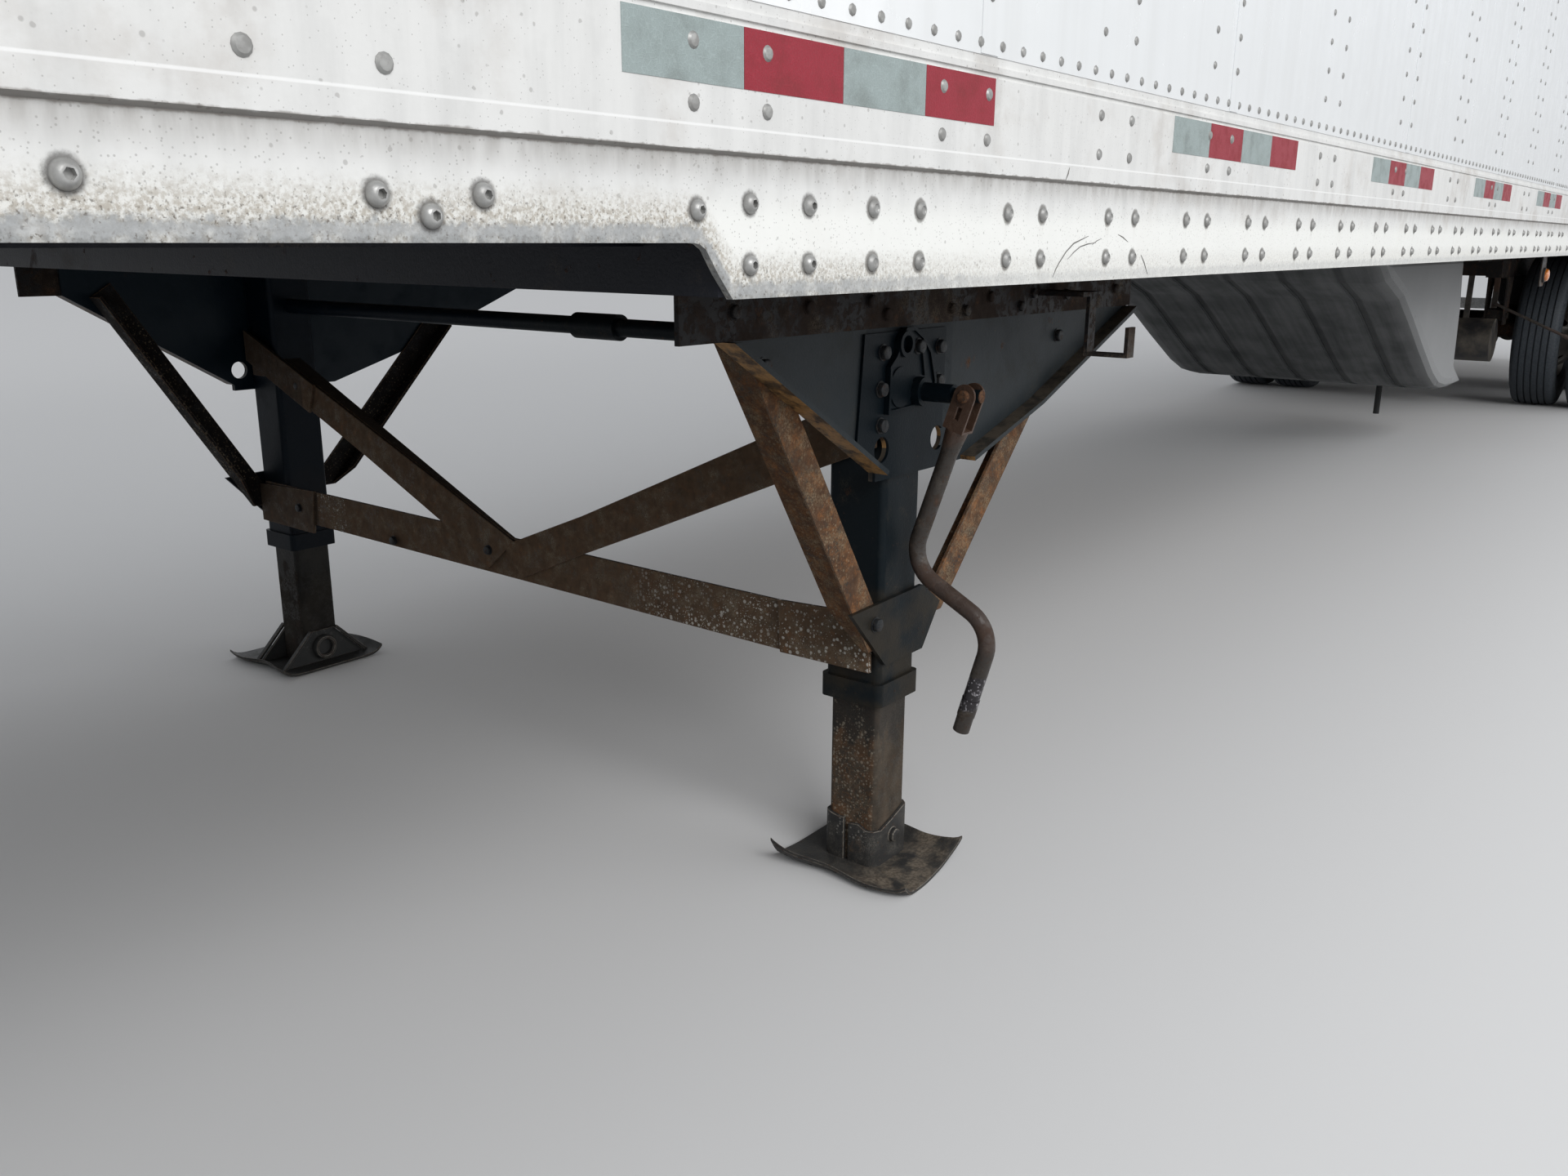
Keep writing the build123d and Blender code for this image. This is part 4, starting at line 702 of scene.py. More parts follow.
def plated_finish(graph, colour, roughness):
    """Plated fastener, dulled unevenly, with dirt in places."""
    dull = graph.between(graph.grain(90.0, detail=5.0), 0.35, 0.65)
    graph.colour = graph.mix(dull * 0.35, colour, (0.16, 0.15, 0.14))
    rough = graph.blend(dull, roughness, roughness + 0.2)
    grain = graph.grain(600.0, detail=2.0)
    graph.shade(rough, grain, 0.0001, 0.55)


def zinc_finish(graph):
    """Galvanised steel with its spangle."""
    tone = graph.split(graph.cells(70.0)[1])[0]
    graph.colour = graph.mix(tone, (0.44, 0.45, 0.46), (0.6, 0.61, 0.62))
    dirt = graph.mask("Patches", Scale=5.0, Coverage=0.4, Softness=0.2)
    graph.coat(dirt * 0.45, (0.2, 0.17, 0.13))
    rough = graph.blend(dirt, 0.42, 0.75)
    metal = graph.blend(dirt, 0.8, 0.3)
    graph.shade(rough, tone, 0.0001, metal)


def rubber_finish(graph, colour, dusty, shine=0.55):
    """Rubber with dust in its low places."""
    dust = graph.mask("Patches", Scale=16.0, Coverage=dusty, Softness=0.2)
    grain = graph.grain(300.0, detail=4.0)
    dust = dust * graph.between(grain, 0.3, 0.7)
    graph.colour = graph.mix(dust * 0.6, colour, (0.2, 0.18, 0.15))
    graph.shade(graph.blend(dust, shine, 0.95), grain, 0.0003)


def tread_finish(graph):
    """Tyre rubber: worn dark tread and a browner dusty side wall, by the distance from the axle."""
    x, _, z = graph.axes()
    far = graph.math("SQRT", x * x + z * z)
    side = 1.0 - graph.between(far, 0.475, 0.495)
    grain = graph.grain(90.0, detail=7.0, roughness=0.65)
    dust = graph.between(grain, 0.35, 0.65) * (side * 0.35 + 0.22)
    graph.colour = graph.mix(dust, (0.026, 0.033, 0.042), (0.14, 0.155, 0.165))
    graph.shade(graph.blend(dust, 0.62, 0.92), grain, 0.0006)


def moulded_finish(graph):
    """Pale moulded plastic: grey road dirt on its ramp and bottom, thin on its side walls, with painted
    shadow and highlight along the grooves of its ramp.
    """
    x, y, _ = graph.axes()
    edge = graph.between(abs(y), 0.62, 0.712)
    under = 1.0 - edge
    runs = graph.runs((1.6, 26.0, 1.6), detail=6.0)
    cloud = graph.grain(5.0, detail=8.0)
    dirt = graph.between(runs, 0.3, 0.75) + graph.between(cloud, 0.35, 0.7)
    dirt = (dirt * 0.25 + 0.45) * (under * 0.8 + 0.2)
    graph.colour = graph.mix(dirt, (0.36, 0.365, 0.37), (0.078, 0.085, 0.087))
    away = (y + GROOVE_PITCH / 2) % GROOVE_PITCH - GROOVE_PITCH / 2
    ahead = (x > GROOVE_REAR_X) * (abs(y) < 0.6)
    # Painted shadow along each groove, and a painted highlight beside it
    groove_shadow = 1.0 - graph.between(abs(away), 0.01, 0.026)
    graph.coat(groove_shadow * ahead * 0.55, (0.026, 0.029, 0.031))
    groove_highlight = 1.0 - graph.between(abs(away + 0.032), 0.004, 0.012)
    graph.coat(groove_highlight * ahead * 0.22, (0.2, 0.21, 0.21))
    specks = graph.mask("Specks", Scale=90.0, Coverage=0.35, Size=0.4)
    graph.coat(specks * 0.25, (0.06, 0.055, 0.05))
    rough = graph.blend(dirt, 0.45, 0.8)
    graph.shade(rough, cloud, 0.0008, Specular_IOR_Level=0.3)


def boards_finish(graph):
    """Laminated floor boards along the trailer."""
    _, y, _ = graph.axes()
    board = graph.math("FLOOR", y * 3.3)
    tone = graph.signals("ShaderNodeTexWhiteNoise", {"W": board}, noise_dimensions="1D")[0]
    grain = graph.runs((2.5, 90.0, 20.0), detail=6.0)
    graph.colour = graph.mix(graph.between(grain, 0.3, 0.7), (0.33, 0.2, 0.1), (0.5, 0.33, 0.18))
    graph.coat(tone * 0.4, (0.2, 0.12, 0.07))
    gap = graph.math("FRACT", y * 3.3) < 0.012
    graph.coat(gap, (0.03, 0.02, 0.015))
    worn = graph.mask("Patches", Scale=2.2, Coverage=0.45, Softness=0.2)
    graph.coat(worn * 0.35, (0.3, 0.27, 0.23))
    graph.shade(graph.blend(worn, 0.5, 0.75), grain, 0.0004)


def tape_finish(graph, colour):
    """Reflective tape: a fine honeycomb under a clear face."""
    wall = 1.0 - graph.between(graph.cells(260.0, "DISTANCE_TO_EDGE")[0], 0.02, 0.1)
    graph.colour = graph.mix(wall * 0.25, colour, [min(1.0, c * 1.5 + 0.01) for c in colour])
    dirt = graph.mask("Patches", Scale=24.0, Coverage=0.34, Softness=0.16)
    graph.coat(dirt * 0.3, (0.1, 0.085, 0.07))
    rough = graph.blend(dirt, 0.4, 0.7)
    graph.shade(rough, wall, 0.0001, Specular_IOR_Level=0.3)


def lens_finish(graph, colour):
    """Coloured lens with fine ribs behind a clear face."""
    x, y, z = graph.axes()
    ribs = graph.math("SINE", (x + (y + z)) * 900.0)
    graph.colour = graph.mix(ribs * 0.18 + 0.2, colour, [c * 0.45 for c in colour])
    graph.shade(0.12, ribs, 0.0004, Coat_Weight=1.0)


def painted_finish(graph, colour, dirt_colour, dirty, roughness=0.4):
    """Plain paint under road dirt."""
    dirt = graph.mask("Patches", Scale=7.0, Coverage=dirty, Softness=0.2)
    fine = graph.mask("Specks", Scale=160.0, Coverage=0.4, Size=0.4)
    dirt = dirt * 0.7 | fine * 0.5
    graph.colour = graph.mix(dirt, colour, dirt_colour)
    graph.shade(graph.blend(dirt, roughness, 0.85), dirt, 0.0002)


def look(make, *values, **tints):
    """One row of the table of finishes: the function, its values in order and its named values."""
    return make, values, tints


# The far side tints below are painted shade that darkens the far side of the trailer
FINISHES = {
    "rail_weathered": look(rail_finish),
    "sheet_gloss": look(sheet_finish),
    "roof_dull": look(bare_metal_finish, (0.62, 0.63, 0.64), 0.5, 0.2, 4.0),
    "floor_boards": look(boards_finish),
    "frame_black": look(rusted_finish, (0.02, 0.017, 0.016), 0.36, 0.25, 0.22, 6.0),
    "channel_brown": look(
        rusted_finish, (0.024, 0.023, 0.024), 0.44, 0.15, 0.25, 12.0, dark=(0.04, 0.029, 0.024), shine=0.12,
    ),
    # The coupler's own dark paint, darkened further as painted shade under the rail
    "coupler_black": look(rusted_finish, (0.0095, 0.011, 0.0165), 0.12, 0.2, 0.08, 7.0),
    "leg_black": look(
        rusted_finish, "gear", 0.12, 0.35, 0.16, 12.0, dust=(0.1, 0.085, 0.065), shine=0.1,
        far_side=(0.0008, 0.0052, 0.012), low_dust=(0.031, 0.025, 0.0175),
    ),
    "plate_slate": look(
        rusted_finish, (0.022, 0.028, 0.032), 0.08, 0.5, 0.3, 10.0, dust=(0.06, 0.058, 0.05), shine=0.15,
        flange=(0.5, 0.275, 0.105), far_side=(0.0006, 0.01, 0.02), low_dust=(0.06, 0.044, 0.031),
    ),
    "cover_navy": look(
        rusted_finish, (0.0045, 0.0085, 0.012), 0.05, 0.4, 0.12, 12.0, dust=(0.026, 0.028, 0.028),
        shine=0.1,
    ),
    "brace_brown": look(
        rusted_finish, (0.034, 0.022, 0.014), 0.6, 0.44, 0.4, 22.0, dark=(0.088, 0.046, 0.026),
        orange=(0.225, 0.098, 0.038), dust=(0.28, 0.215, 0.135),
        specks=(0.5, 0.4, (0.4, 0.32, 0.21), 0.38, 0.95), far_side=(0.003, 0.004, 0.0055), far_share=0.95,
    ),
    "brace_edge": look(
        rusted_finish, (0.082, 0.055, 0.036), 0.5, 0.45, 0.5, 60.0, dark=(0.092, 0.055, 0.035),
        dust=(0.26, 0.2, 0.14),
    ),
    "band_brown": look(
        rusted_finish, (0.08, 0.056, 0.036), 0.6, 0.2, 0.3, 24.0, dark=(0.11, 0.07, 0.043),
        dust=(0.28, 0.24, 0.175), specks=(0.6, 0.9, (0.6, 0.58, 0.53), 0.36, 0.52),
        upper_face=(0.014, 0.0115, 0.01), far_end=(0.028, 0.024, 0.022),
    ),
    "greased_leg": look(greased_finish),
    "shoe_dusty": look(shoe_finish),
    "shoe_edge": look(rusted_finish, (0.13, 0.12, 0.105), 0.4, 0.2, 0.5, 60.0, dust=(0.26, 0.235, 0.195)),
    "crank_steel": look(crank_finish),
    "kingpin_bare": look(bare_metal_finish, (0.42, 0.4, 0.38), 0.32, 0.5),
    "rivet_steel": look(plated_finish, (0.36, 0.36, 0.35), 0.42),
    "screw_plated": look(plated_finish, (0.42, 0.42, 0.41), 0.34),
    "bolt_dark": look(rusted_finish, (0.03, 0.033, 0.036), 0.4, 0.3, 0.3, 50.0, shine=0.3),
    "gear_bolt": look(
        rusted_finish, (0.016, 0.019, 0.022), 0.25, 0.15, 0.35, 60.0, dust=(0.075, 0.064, 0.052),
        shine=0.25,
    ),
    "bolt_rust": look(rusted_finish, (0.14, 0.062, 0.03), 0.6, 0.6, 0.2, 70.0),
    "scuff_dark": look(painted_finish, (0.14, 0.135, 0.125), (0.3, 0.29, 0.275), 0.5, 0.7),
    "zinc_spangle": look(zinc_finish),
    "tyre_worn": look(tread_finish),
    "wheel_white": look(painted_finish, (0.62, 0.61, 0.58), (0.2, 0.16, 0.12), 0.55, 0.35),
    "drum_iron": look(rusted_finish, (0.1, 0.085, 0.075), 0.6, 0.5, 0.25, 10.0),
    "rubber_black": look(rubber_finish, (0.022, 0.022, 0.024), 0.45),
    "tank_black": look(painted_finish, (0.03, 0.03, 0.033), (0.2, 0.17, 0.13), 0.4, 0.3),
    "fairing_moulded": look(moulded_finish),
    "lens_amber": look(lens_finish, (0.8, 0.22, 0.02)),
    "lens_red": look(lens_finish, (0.5, 0.012, 0.012)),
    "tape_pale": look(tape_finish, "tape_pale"),
    "tape_red": look(tape_finish, "tape_red"),
    "cast_dull": look(plated_finish, (0.3, 0.3, 0.3), 0.5),
    "seal_red": look(painted_finish, (0.42, 0.03, 0.022), (0.12, 0.08, 0.06), 0.35, 0.5),
    "seal_blue": look(painted_finish, (0.03, 0.085, 0.3), (0.08, 0.08, 0.08), 0.35, 0.5),
    "plate_blank": look(painted_finish, (0.72, 0.72, 0.7), (0.3, 0.27, 0.22), 0.35, 0.4),
}

# The finish of each CAD node, by how its name starts; the others are frame_black
NODE_FINISHES = {
    "rail_weathered": ("bottom_rail", "top_rails", "front_corner"),
    "sheet_gloss": ("side_wall", "front_wall", "door_panel"),
    "roof_dull": ("roof",),
    "floor_boards": ("floor",),
    "kingpin_bare": ("kingpin",),
    "zinc_spangle": ("door_hardware", "rear_"),
    "cast_dull": ("front_connectors",),
    "rubber_black": ("dock_bumpers", "air_springs", "mud_flaps", "drain"),
    "leg_black": ("landing_legs", "cross_shaft"),
    "plate_slate": ("wing_plates",),
    "cover_navy": ("gearbox_cover",),
    "channel_brown": ("mounting_channels",),
    "coupler_black": ("upper_coupler",),
    "brace_brown": ("fore_aft_braces",),
    "band_brown": ("cross_brace",),
    "greased_leg": ("lower_legs",),
    "shoe_dusty": ("sand_shoes",),
    "crank_steel": ("crank_handle", "pin_pull"),
    "tyre_worn": ("tyres",),
    "wheel_white": ("wheels",),
    "drum_iron": ("hub_",),
    "tank_black": ("air_tank", "brake_chambers"),
    "fairing_moulded": ("underbody",),
    "lens_amber": ("amber",),
    "lens_red": ("red_",),
    "frame_black": ("",),
}


def finish(name):
    """The named material, made when it is first asked for. A text in its values is a user's colour."""
    if name not in bpy.data.materials:
        make, values, tints = FINISHES[name]
        values = [getattr(colours(), value) if isinstance(value, str) else value for value in values]
        make(new_material(name), *values, **tints)
    return bpy.data.materials[name]


# Meshes


class Shape:
    """Points and faces gathered for one piece. Each face keeps the number of its material."""

    def __init__(self):
        self.points = []
        self.faces = []
        self.numbers = []

    def add(self, form, place=None, number=0):
        points, faces = form
        start = len(self.points)
        self.points += [place @ Vector(p) for p in points] if place else [Vector(p) for p in points]
        self.faces += [[i + start for i in face] for face in faces]
        self.numbers += [number] * len(faces)

    def stud(self, form, point, way, turn=0.0, number=0):
        """Sets a form down at point with its own Z along way."""
        self.add(form, facing(point, way, turn), number)

    def soften(self, mesh, edge, worn):
        """Turns every face outwards and cuts the sharp edges off by edge, in the material number worn."""
        form = bmesh.new()
        form.from_mesh(mesh)
        bmesh.ops.recalc_face_normals(form, faces=form.faces)
        sharp = [e for e in form.edges if len(e.link_faces) == 2 and e.calc_face_angle(0.0) > 0.6]
        bmesh.ops.bevel(
            form, geom=sharp, offset=edge, segments=1, affect="EDGES", clamp_overlap=True, material=worn,
        )
        form.to_mesh(mesh)
        form.free()

    def piece(self, name, materials, body="trailer", slot=None, sharp=35.0, edge=0.0, worn=-1):
        mesh = bpy.data.meshes.new(name)
        mesh.from_pydata(self.points, [], self.faces)
        mesh.polygons.foreach_set("material_index", self.numbers)
        if edge:
            self.soften(mesh, edge, worn)
        mesh.polygons.foreach_set("use_smooth", [True] * len(mesh.polygons))
        mesh.set_sharp_from_angle(angle=math.radians(sharp))
        for label in materials:
            mesh.materials.append(finish(label))
        made = bpy.data.objects.new(name, mesh)
        bpy.context.scene.collection.objects.link(made)
        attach(made, body)
        return made


def turned(outline, segments):
    """An outline of (radius, height) turned about Z. A radius of 0 closes it to a point."""
    points, faces, rings = [], [], []
    for radius, height in outline:
        if radius == 0.0:
            rings.append([len(points)] * segments)
            points.append((0.0, 0.0, height))
            continue
        rings.append(list(range(len(points), len(points) + segments)))
        points += [(x, y, height) for _, x, y in round_path(segments, radius)]
    for low, high in zip(rings, rings[1:]):
        for i in range(segments):
            j = (i + 1) % segments
            faces.append(list(dict.fromkeys((low[i], low[j], high[j], high[i]))))
    return points, faces


def facing(point, way, turn=0.0):
    """Sets a form down at point with its own Z along way."""
    spin = Vector(way).to_track_quat("Z", "Y").to_matrix().to_4x4()
    return Matrix.Translation(point) @ spin @ Matrix.Rotation(turn, 4, "Z")


def brick(low, high):
    """A box between two corners."""
    points = [(x, y, z) for x in (low[0], high[0]) for y in (low[1], high[1]) for z in (low[2], high[2])]
    return points, [(0, 1, 3, 2), (4, 6, 7, 5), (0, 4, 5, 1), (2, 3, 7, 6), (0, 2, 6, 4), (1, 5, 7, 3)]


def prism(outline, axis, low, high):
    """A plate of even thickness: its outline in the plane across an axis, from low to high along it."""
    points = [(*place[:axis], level, *place[axis:]) for level in (low, high) for place in outline]
    count = len(outline)
    faces = [list(range(count - 1, -1, -1)), list(range(count, 2 * count))]
    for i in range(count):
        j = (i + 1) % count
        faces.append([i, j, count + j, count + i])
    return points, faces


def block_of(points):
    """A six-sided block from its four lower and four upper corners."""
    return points, [(3, 2, 1, 0), (4, 5, 6, 7), (0, 1, 5, 4), (1, 2, 6, 5), (2, 3, 7, 6), (3, 0, 4, 7)]


def grid(rows, closed=False):
    """Rows of points, each row joined to the next."""
    count = len(rows[0])
    points = [point for row in rows for point in row]
    faces = []
    for a in range(len(rows) - 1):
        for b in range(count if closed else count - 1):
            c = (b + 1) % count
            faces.append([a * count + b, a * count + c, (a + 1) * count + c, (a + 1) * count + b])
    return points, faces


def upright_wall(path, skin, foot):
    """A wall of even thickness along a path of (x, y, top), outwards to its right, from foot up."""
    rows = []
    for i, (x, y, top) in enumerate(path):
        x0, y0, _ = path[max(i - 1, 0)]
        x1, y1, _ = path[min(i + 1, len(path) - 1)]
        run = math.hypot(x1 - x0, y1 - y0)
        dx, dy = skin * (y1 - y0) / run, -skin * (x1 - x0) / run
        rows.append([(x, y, foot), (x, y, top), (x + dx, y + dy, top), (x + dx, y + dy, foot)])
    points, faces = grid(rows, True)
    last = len(points) - 4
    return points, faces + [[3, 2, 1, 0], [last, last + 1, last + 2, last + 3]]


def dome(radius, height, segments=12):
    """A rivet's round head with a short upright edge."""
    outline = [(radius, 0.0), (radius, 0.2 * height), (0.72 * radius, 0.78 * height), (0.0, height)]
    return turned(outline, segments)


def lock_rivet(radius, height):
    """A rivet's flanged head with a shallow pit in its middle."""
    outline = [
        (1.0, 0.0), (1.0, 0.22), (0.93, 0.46), (0.8, 0.72), (0.64, 0.93), (0.56, 1.0), (0.48, 0.95),
        (0.4, 0.78),
    ]
    points = [(radius * across, height * up) for across, up in outline]
    return turned(points + [(0.0, 0.72 * height)], 18)


def joined(first, second):
    """Two forms as one."""
    start = len(first[0])
    return first[0] + second[0], first[1] + [[i + start for i in face] for face in second[1]]


def round_path(count, radius=1.0):
    """Points (x, y) all round a circle, each with its angle."""
    turns = [2 * math.pi * i / count for i in range(count)]
    return [(turn, radius * math.cos(turn), radius * math.sin(turn)) for turn in turns]


def hex_head(radius, height, washer):
    """A bolt head on its washer."""
    skin = 0.22 * height
    disc = turned([(washer * radius, 0.0), (washer * radius, skin), (0.0, skin)], 20)
    head = turned([(radius, skin), (radius, 0.88 * height), (0.86 * radius, height), (0.0, height)], 6)
    return joined(disc, head)


def round_head(radius, height):
    """A worn bolt head, its six corners rounded nearly to a disc, on a thin washer."""
    disc = turned([(1.18 * radius, 0.0), (1.18 * radius, 0.14 * height), (0.9 * radius, 0.16 * height)], 24)
    rows = []
    for reach, up in ((0.96, 0.14), (1.0, 0.3), (1.0, 0.72), (0.93, 0.9), (0.78, 1.0)):
        row = []
        for turn, across, along in round_path(24):
            far = radius * reach * (1.0 - 0.035 * math.cos(6 * turn))
            row.append((far * across, far * along, up * height))
        rows.append(row)
    points, faces = joined(disc, grid(rows, True))
    return points, faces + [list(range(len(points) - 24, len(points)))]


def socket_head(radius, height):
    """A button head with a six-sided recess."""
    outline = [
        (radius, 0.0), (radius, 0.18 * height), (0.86 * radius, 0.62 * height),
        (0.62 * radius, 0.92 * height),
    ]
    points, faces = turned(outline + [(0.5 * radius, height)], 24)
    rim = len(points) - 24
    start = len(points)
    sixth = math.pi / 6
    for depth in (height, 0.35 * height):
        for turn, across, along in round_path(24, 0.42 * radius):
            side = math.cos(sixth) / math.cos((turn + sixth) % (2 * sixth) - sixth)
            points.append((side * across, side * along, depth))
    for i in range(24):
        j = (i + 1) % 24
        faces.append([rim + i, rim + j, start + j, start + i])
        faces.append([start + i, start + j, start + 24 + j, start + 24 + i])
    faces.append(list(range(start + 24, start + 48)))
    return points, faces


def post_places():
    """Where the wall posts stand, from the nose to the tail."""
    ahead = int((NOSE_X - 0.2 - POST_FIRST_X) / POST_PITCH_FRONT)
    x = POST_FIRST_X + ahead * POST_PITCH_FRONT
    places = []
    while x > TAIL_X + 0.2:
        places.append(x)
        x -= POST_PITCH_FRONT if x > POST_CHANGE_X + 0.01 else POST_PITCH_REAR
    return places


def across_side(sign, inner, outer):
    """The two places across the trailer, lower first, on the side that sign names."""
    return sorted((sign * inner, sign * outer))


def beam_places():
    """Where the beams stand, from the front one to the tail."""
    count = int((FIRST_BEAM_X - RAIL_LOW.x - 0.06) / BEAM_PITCH) + 1
    return [FIRST_BEAM_X - i * BEAM_PITCH for i in range(count)]


# Pieces

# Scratches on the left rail, each as its width and its (x, height) points
SCUFFS = (
    (
        0.0022,
        (
            (4.5797, 1.0507), (4.572, 1.0612), (4.5625, 1.0699), (4.543, 1.0845), (4.5203, 1.0957),
            (4.4741, 1.1057),
        ),
    ),
    (0.0016, ((4.5376, 1.074), (4.518, 1.084), (4.4985, 1.0913), (4.474, 1.095), (4.4479, 1.0968))),
    (0.0026, ((4.2812, 1.0788), (4.266, 1.067), (4.2491, 1.049))),
    (0.0018, ((4.3728, 1.1085), (4.354, 1.1045), (4.3349, 1.0981))),
    (0.0014, ((4.4611, 1.0935), (4.446, 1.099), (4.4294, 1.1025))),
    (0.003, ((4.5609, 1.1939), (4.564, 1.186), (4.5707, 1.1769))),
)


class TRAILER_OT_finishes(bpy.types.Operator):
    """Gives every CAD node its finish"""

    bl_idname = "trailer.finishes"
    bl_label = "Finishes"

    def execute(self, context):
        for name in EFFECTS:
            make_effect(name)
        for name, node in NODES.items():
            label = next(label for label, starts in NODE_FINISHES.items() if name.startswith(starts))
            node.data.materials.clear()
            node.data.materials.append(finish(label))
        return {"FINISHED"}


class TRAILER_OT_rail_fasteners(bpy.types.Operator):
    """Rivets of the beams and button head screws on both side rails"""

    bl_idname = "trailer.rail_fasteners"
    bl_label = "Rail fasteners"

    def execute(self, context):
        rivet = lock_rivet(sizes().beam_bolt_radius, BEAM_RIVET_HEIGHT)
        screw = socket_head(sizes().socket_head_radius, SOCKET_HEAD_HEIGHT)
        band = dome(0.0075, 0.0034, 12)
        for side, sign in SIDES.items():
            shape = Shape()
            for x in beam_places():
                for offset in (-BEAM_BOLT_OFFSET, BEAM_BOLT_OFFSET):
                    for z in BEAM_BOLT_ROWS:
                        shape.stud(rivet, (x + offset, sign * SKIRT_Y, z), (0, sign, 0))
            for x in post_places():
                for offset in (-POST_RIVET_OFFSET, POST_RIVET_OFFSET):
                    for z in BAND_ROWS:
                        shape.stud(band, (x + offset, sign * RAIL_Y, z), (0, sign, 0))
            shape.piece("rail_rivets_" + side, ["rivet_steel"], slot="galvanised")
            shape = Shape()
            for i, (ahead, z) in enumerate(SOCKET_HEADS):
                shape.stud(screw, (FIRST_BEAM_X + ahead, sign * SKIRT_Y, z), (0, sign, 0), 0.7 * i)
            shape.piece("rail_screws_" + side, ["screw_plated"], slot="galvanised")
        self.scuffs()
        return {"FINISHED"}

    def scuffs(self):
        """Dark scratches on the left rail, as thin raised lines."""
        shape = Shape()
        for width, line in SCUFFS:
            rows = []
            for i, (x, z) in enumerate(line):
                x0, z0 = line[max(i - 1, 0)]
                x1, z1 = line[min(i + 1, len(line) - 1)]
                run = math.hypot(x1 - x0, z1 - z0)
                taper = 0.35 if i in (0, len(line) - 1) else 1.0
                dx, dz = width * taper * (z1 - z0) / run / 2, -width * taper * (x1 - x0) / run / 2
                face = SKIRT_Y if z < LEDGE_Z else RAIL_Y
                rows.append(
                    [
                        (x - dx, face + 0.0003, z - dz), (x, face + 0.0006, z),
                        (x + dx, face + 0.0003, z + dz),
                    ]
                )
            shape.add(grid(rows))
        shape.piece("rail_scuffs", ["scuff_dark"], slot="rail_aluminium")


class TRAILER_OT_wall_rivets(bpy.types.Operator):
    """Rivet rows and overlapping joints of the wall sheets"""

    bl_idname = "trailer.wall_rivets"
    bl_label = "Wall rivets"

    def execute(self, context):
        head = dome(sizes().sheet_rivet_radius, RIVET_HEIGHT, 8)
        for side, sign in SIDES.items():
            shape = Shape()
            laps = Shape()
            for i, x in enumerate(post_places()):
                on_lap = LAP_SKIN if i % 2 else 0.0
                for offset in (-POST_RIVET_OFFSET, POST_RIVET_OFFSET):
                    z = BOTTOM_ROW_Z + 0.051
                    while z < WALL_HIGH.z - 0.01:
                        y = SHEET_Y + (on_lap if offset < 0 else 0.0)
                        shape.stud(head, (x + offset, sign * y, z), (0, sign, 0))
                        z += COLUMN_PITCH
                if on_lap:
                    faces = across_side(sign, SHEET_Y, SHEET_Y + LAP_SKIN)
                    low = (x - POST_RIVET_OFFSET - LAP_HALF, faces[0], RAIL_TOP + 0.001)
                    high = (x - POST_RIVET_OFFSET + LAP_HALF, faces[1], WALL_HIGH.z - 0.001)
                    laps.add(brick(low, high))
            for row in (BOTTOM_ROW_Z, TOP_LOW.z + 0.03):
                x = RAIL_LOW.x + 0.03
                y = SHEET_Y if row < 2 else SHEET_Y + 0.001
                while x < RAIL_HIGH.x - 0.02:
                    shape.stud(head, (x, sign * y, row), (0, sign, 0))
                    x += RIVET_PITCH
            shape.piece("wall_rivets_" + side, ["rivet_steel"], slot="galvanised")
            laps.piece("wall_laps_" + side, ["sheet_gloss"], slot="white_sheet")
        return {"FINISHED"}


class TRAILER_OT_end_rivets(bpy.types.Operator):
    """Rivets of the front wall and the roof's overlapping sheets"""

    bl_idname = "trailer.end_rivets"
    bl_label = "Front and roof rivets"

    def execute(self, context):
        head = dome(sizes().sheet_rivet_radius, RIVET_HEIGHT, 8)
        flat = dome(sizes().sheet_rivet_radius, 0.0005, 8)
        shape = Shape()
        pair = (-0.02, 0.02)
        columns = [side * (0.2 + 0.4 * i + offset) for side in (-1, 1) for i in range(3) for offset in pair]
        columns += [side * (FRONT_HIGH.y + 0.05) for side in (-1, 1)]
        for y in columns:
            z = FRONT_LOW.z + 0.1
            while z < FRONT_HIGH.z - 0.08:
                shape.stud(head, (NOSE_X, y, z), (1, 0, 0))
                z += 0.09
        for z in (FRONT_LOW.z + 0.045, FRONT_HIGH.z - 0.045):
            for i in range(27):
                shape.stud(head, (NOSE_X, FRONT_LOW.y + 0.05 + i * 0.0872, z), (1, 0, 0))
        shape.piece("front_rivets", ["rivet_steel"], slot="galvanised")
        shape, seams = Shape(), Shape()
        _, roof_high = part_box("roof")
        reach = roof_high.y - 0.03
        for i in range(SEAM_COUNT):
            x = NOSE_X - SEAM_FIRST - i * SEAM_PITCH
            seams.add(
                brick((x - LAP_HALF, -reach, roof_high.z), (x + LAP_HALF, reach, roof_high.z + SEAM_SKIN))
            )
            for j in range(SEAM_RIVETS):
                y = -reach + 0.03 + j * (2 * reach - 0.06) / (SEAM_RIVETS - 1)
                shape.stud(flat, (x, y, roof_high.z + SEAM_SKIN), (0, 0, 1))
        seams.piece("roof_seams", ["roof_dull"], slot="roof_aluminium")
        shape.piece("roof_rivets", ["rivet_steel"], slot="galvanised")
        return {"FINISHED"}


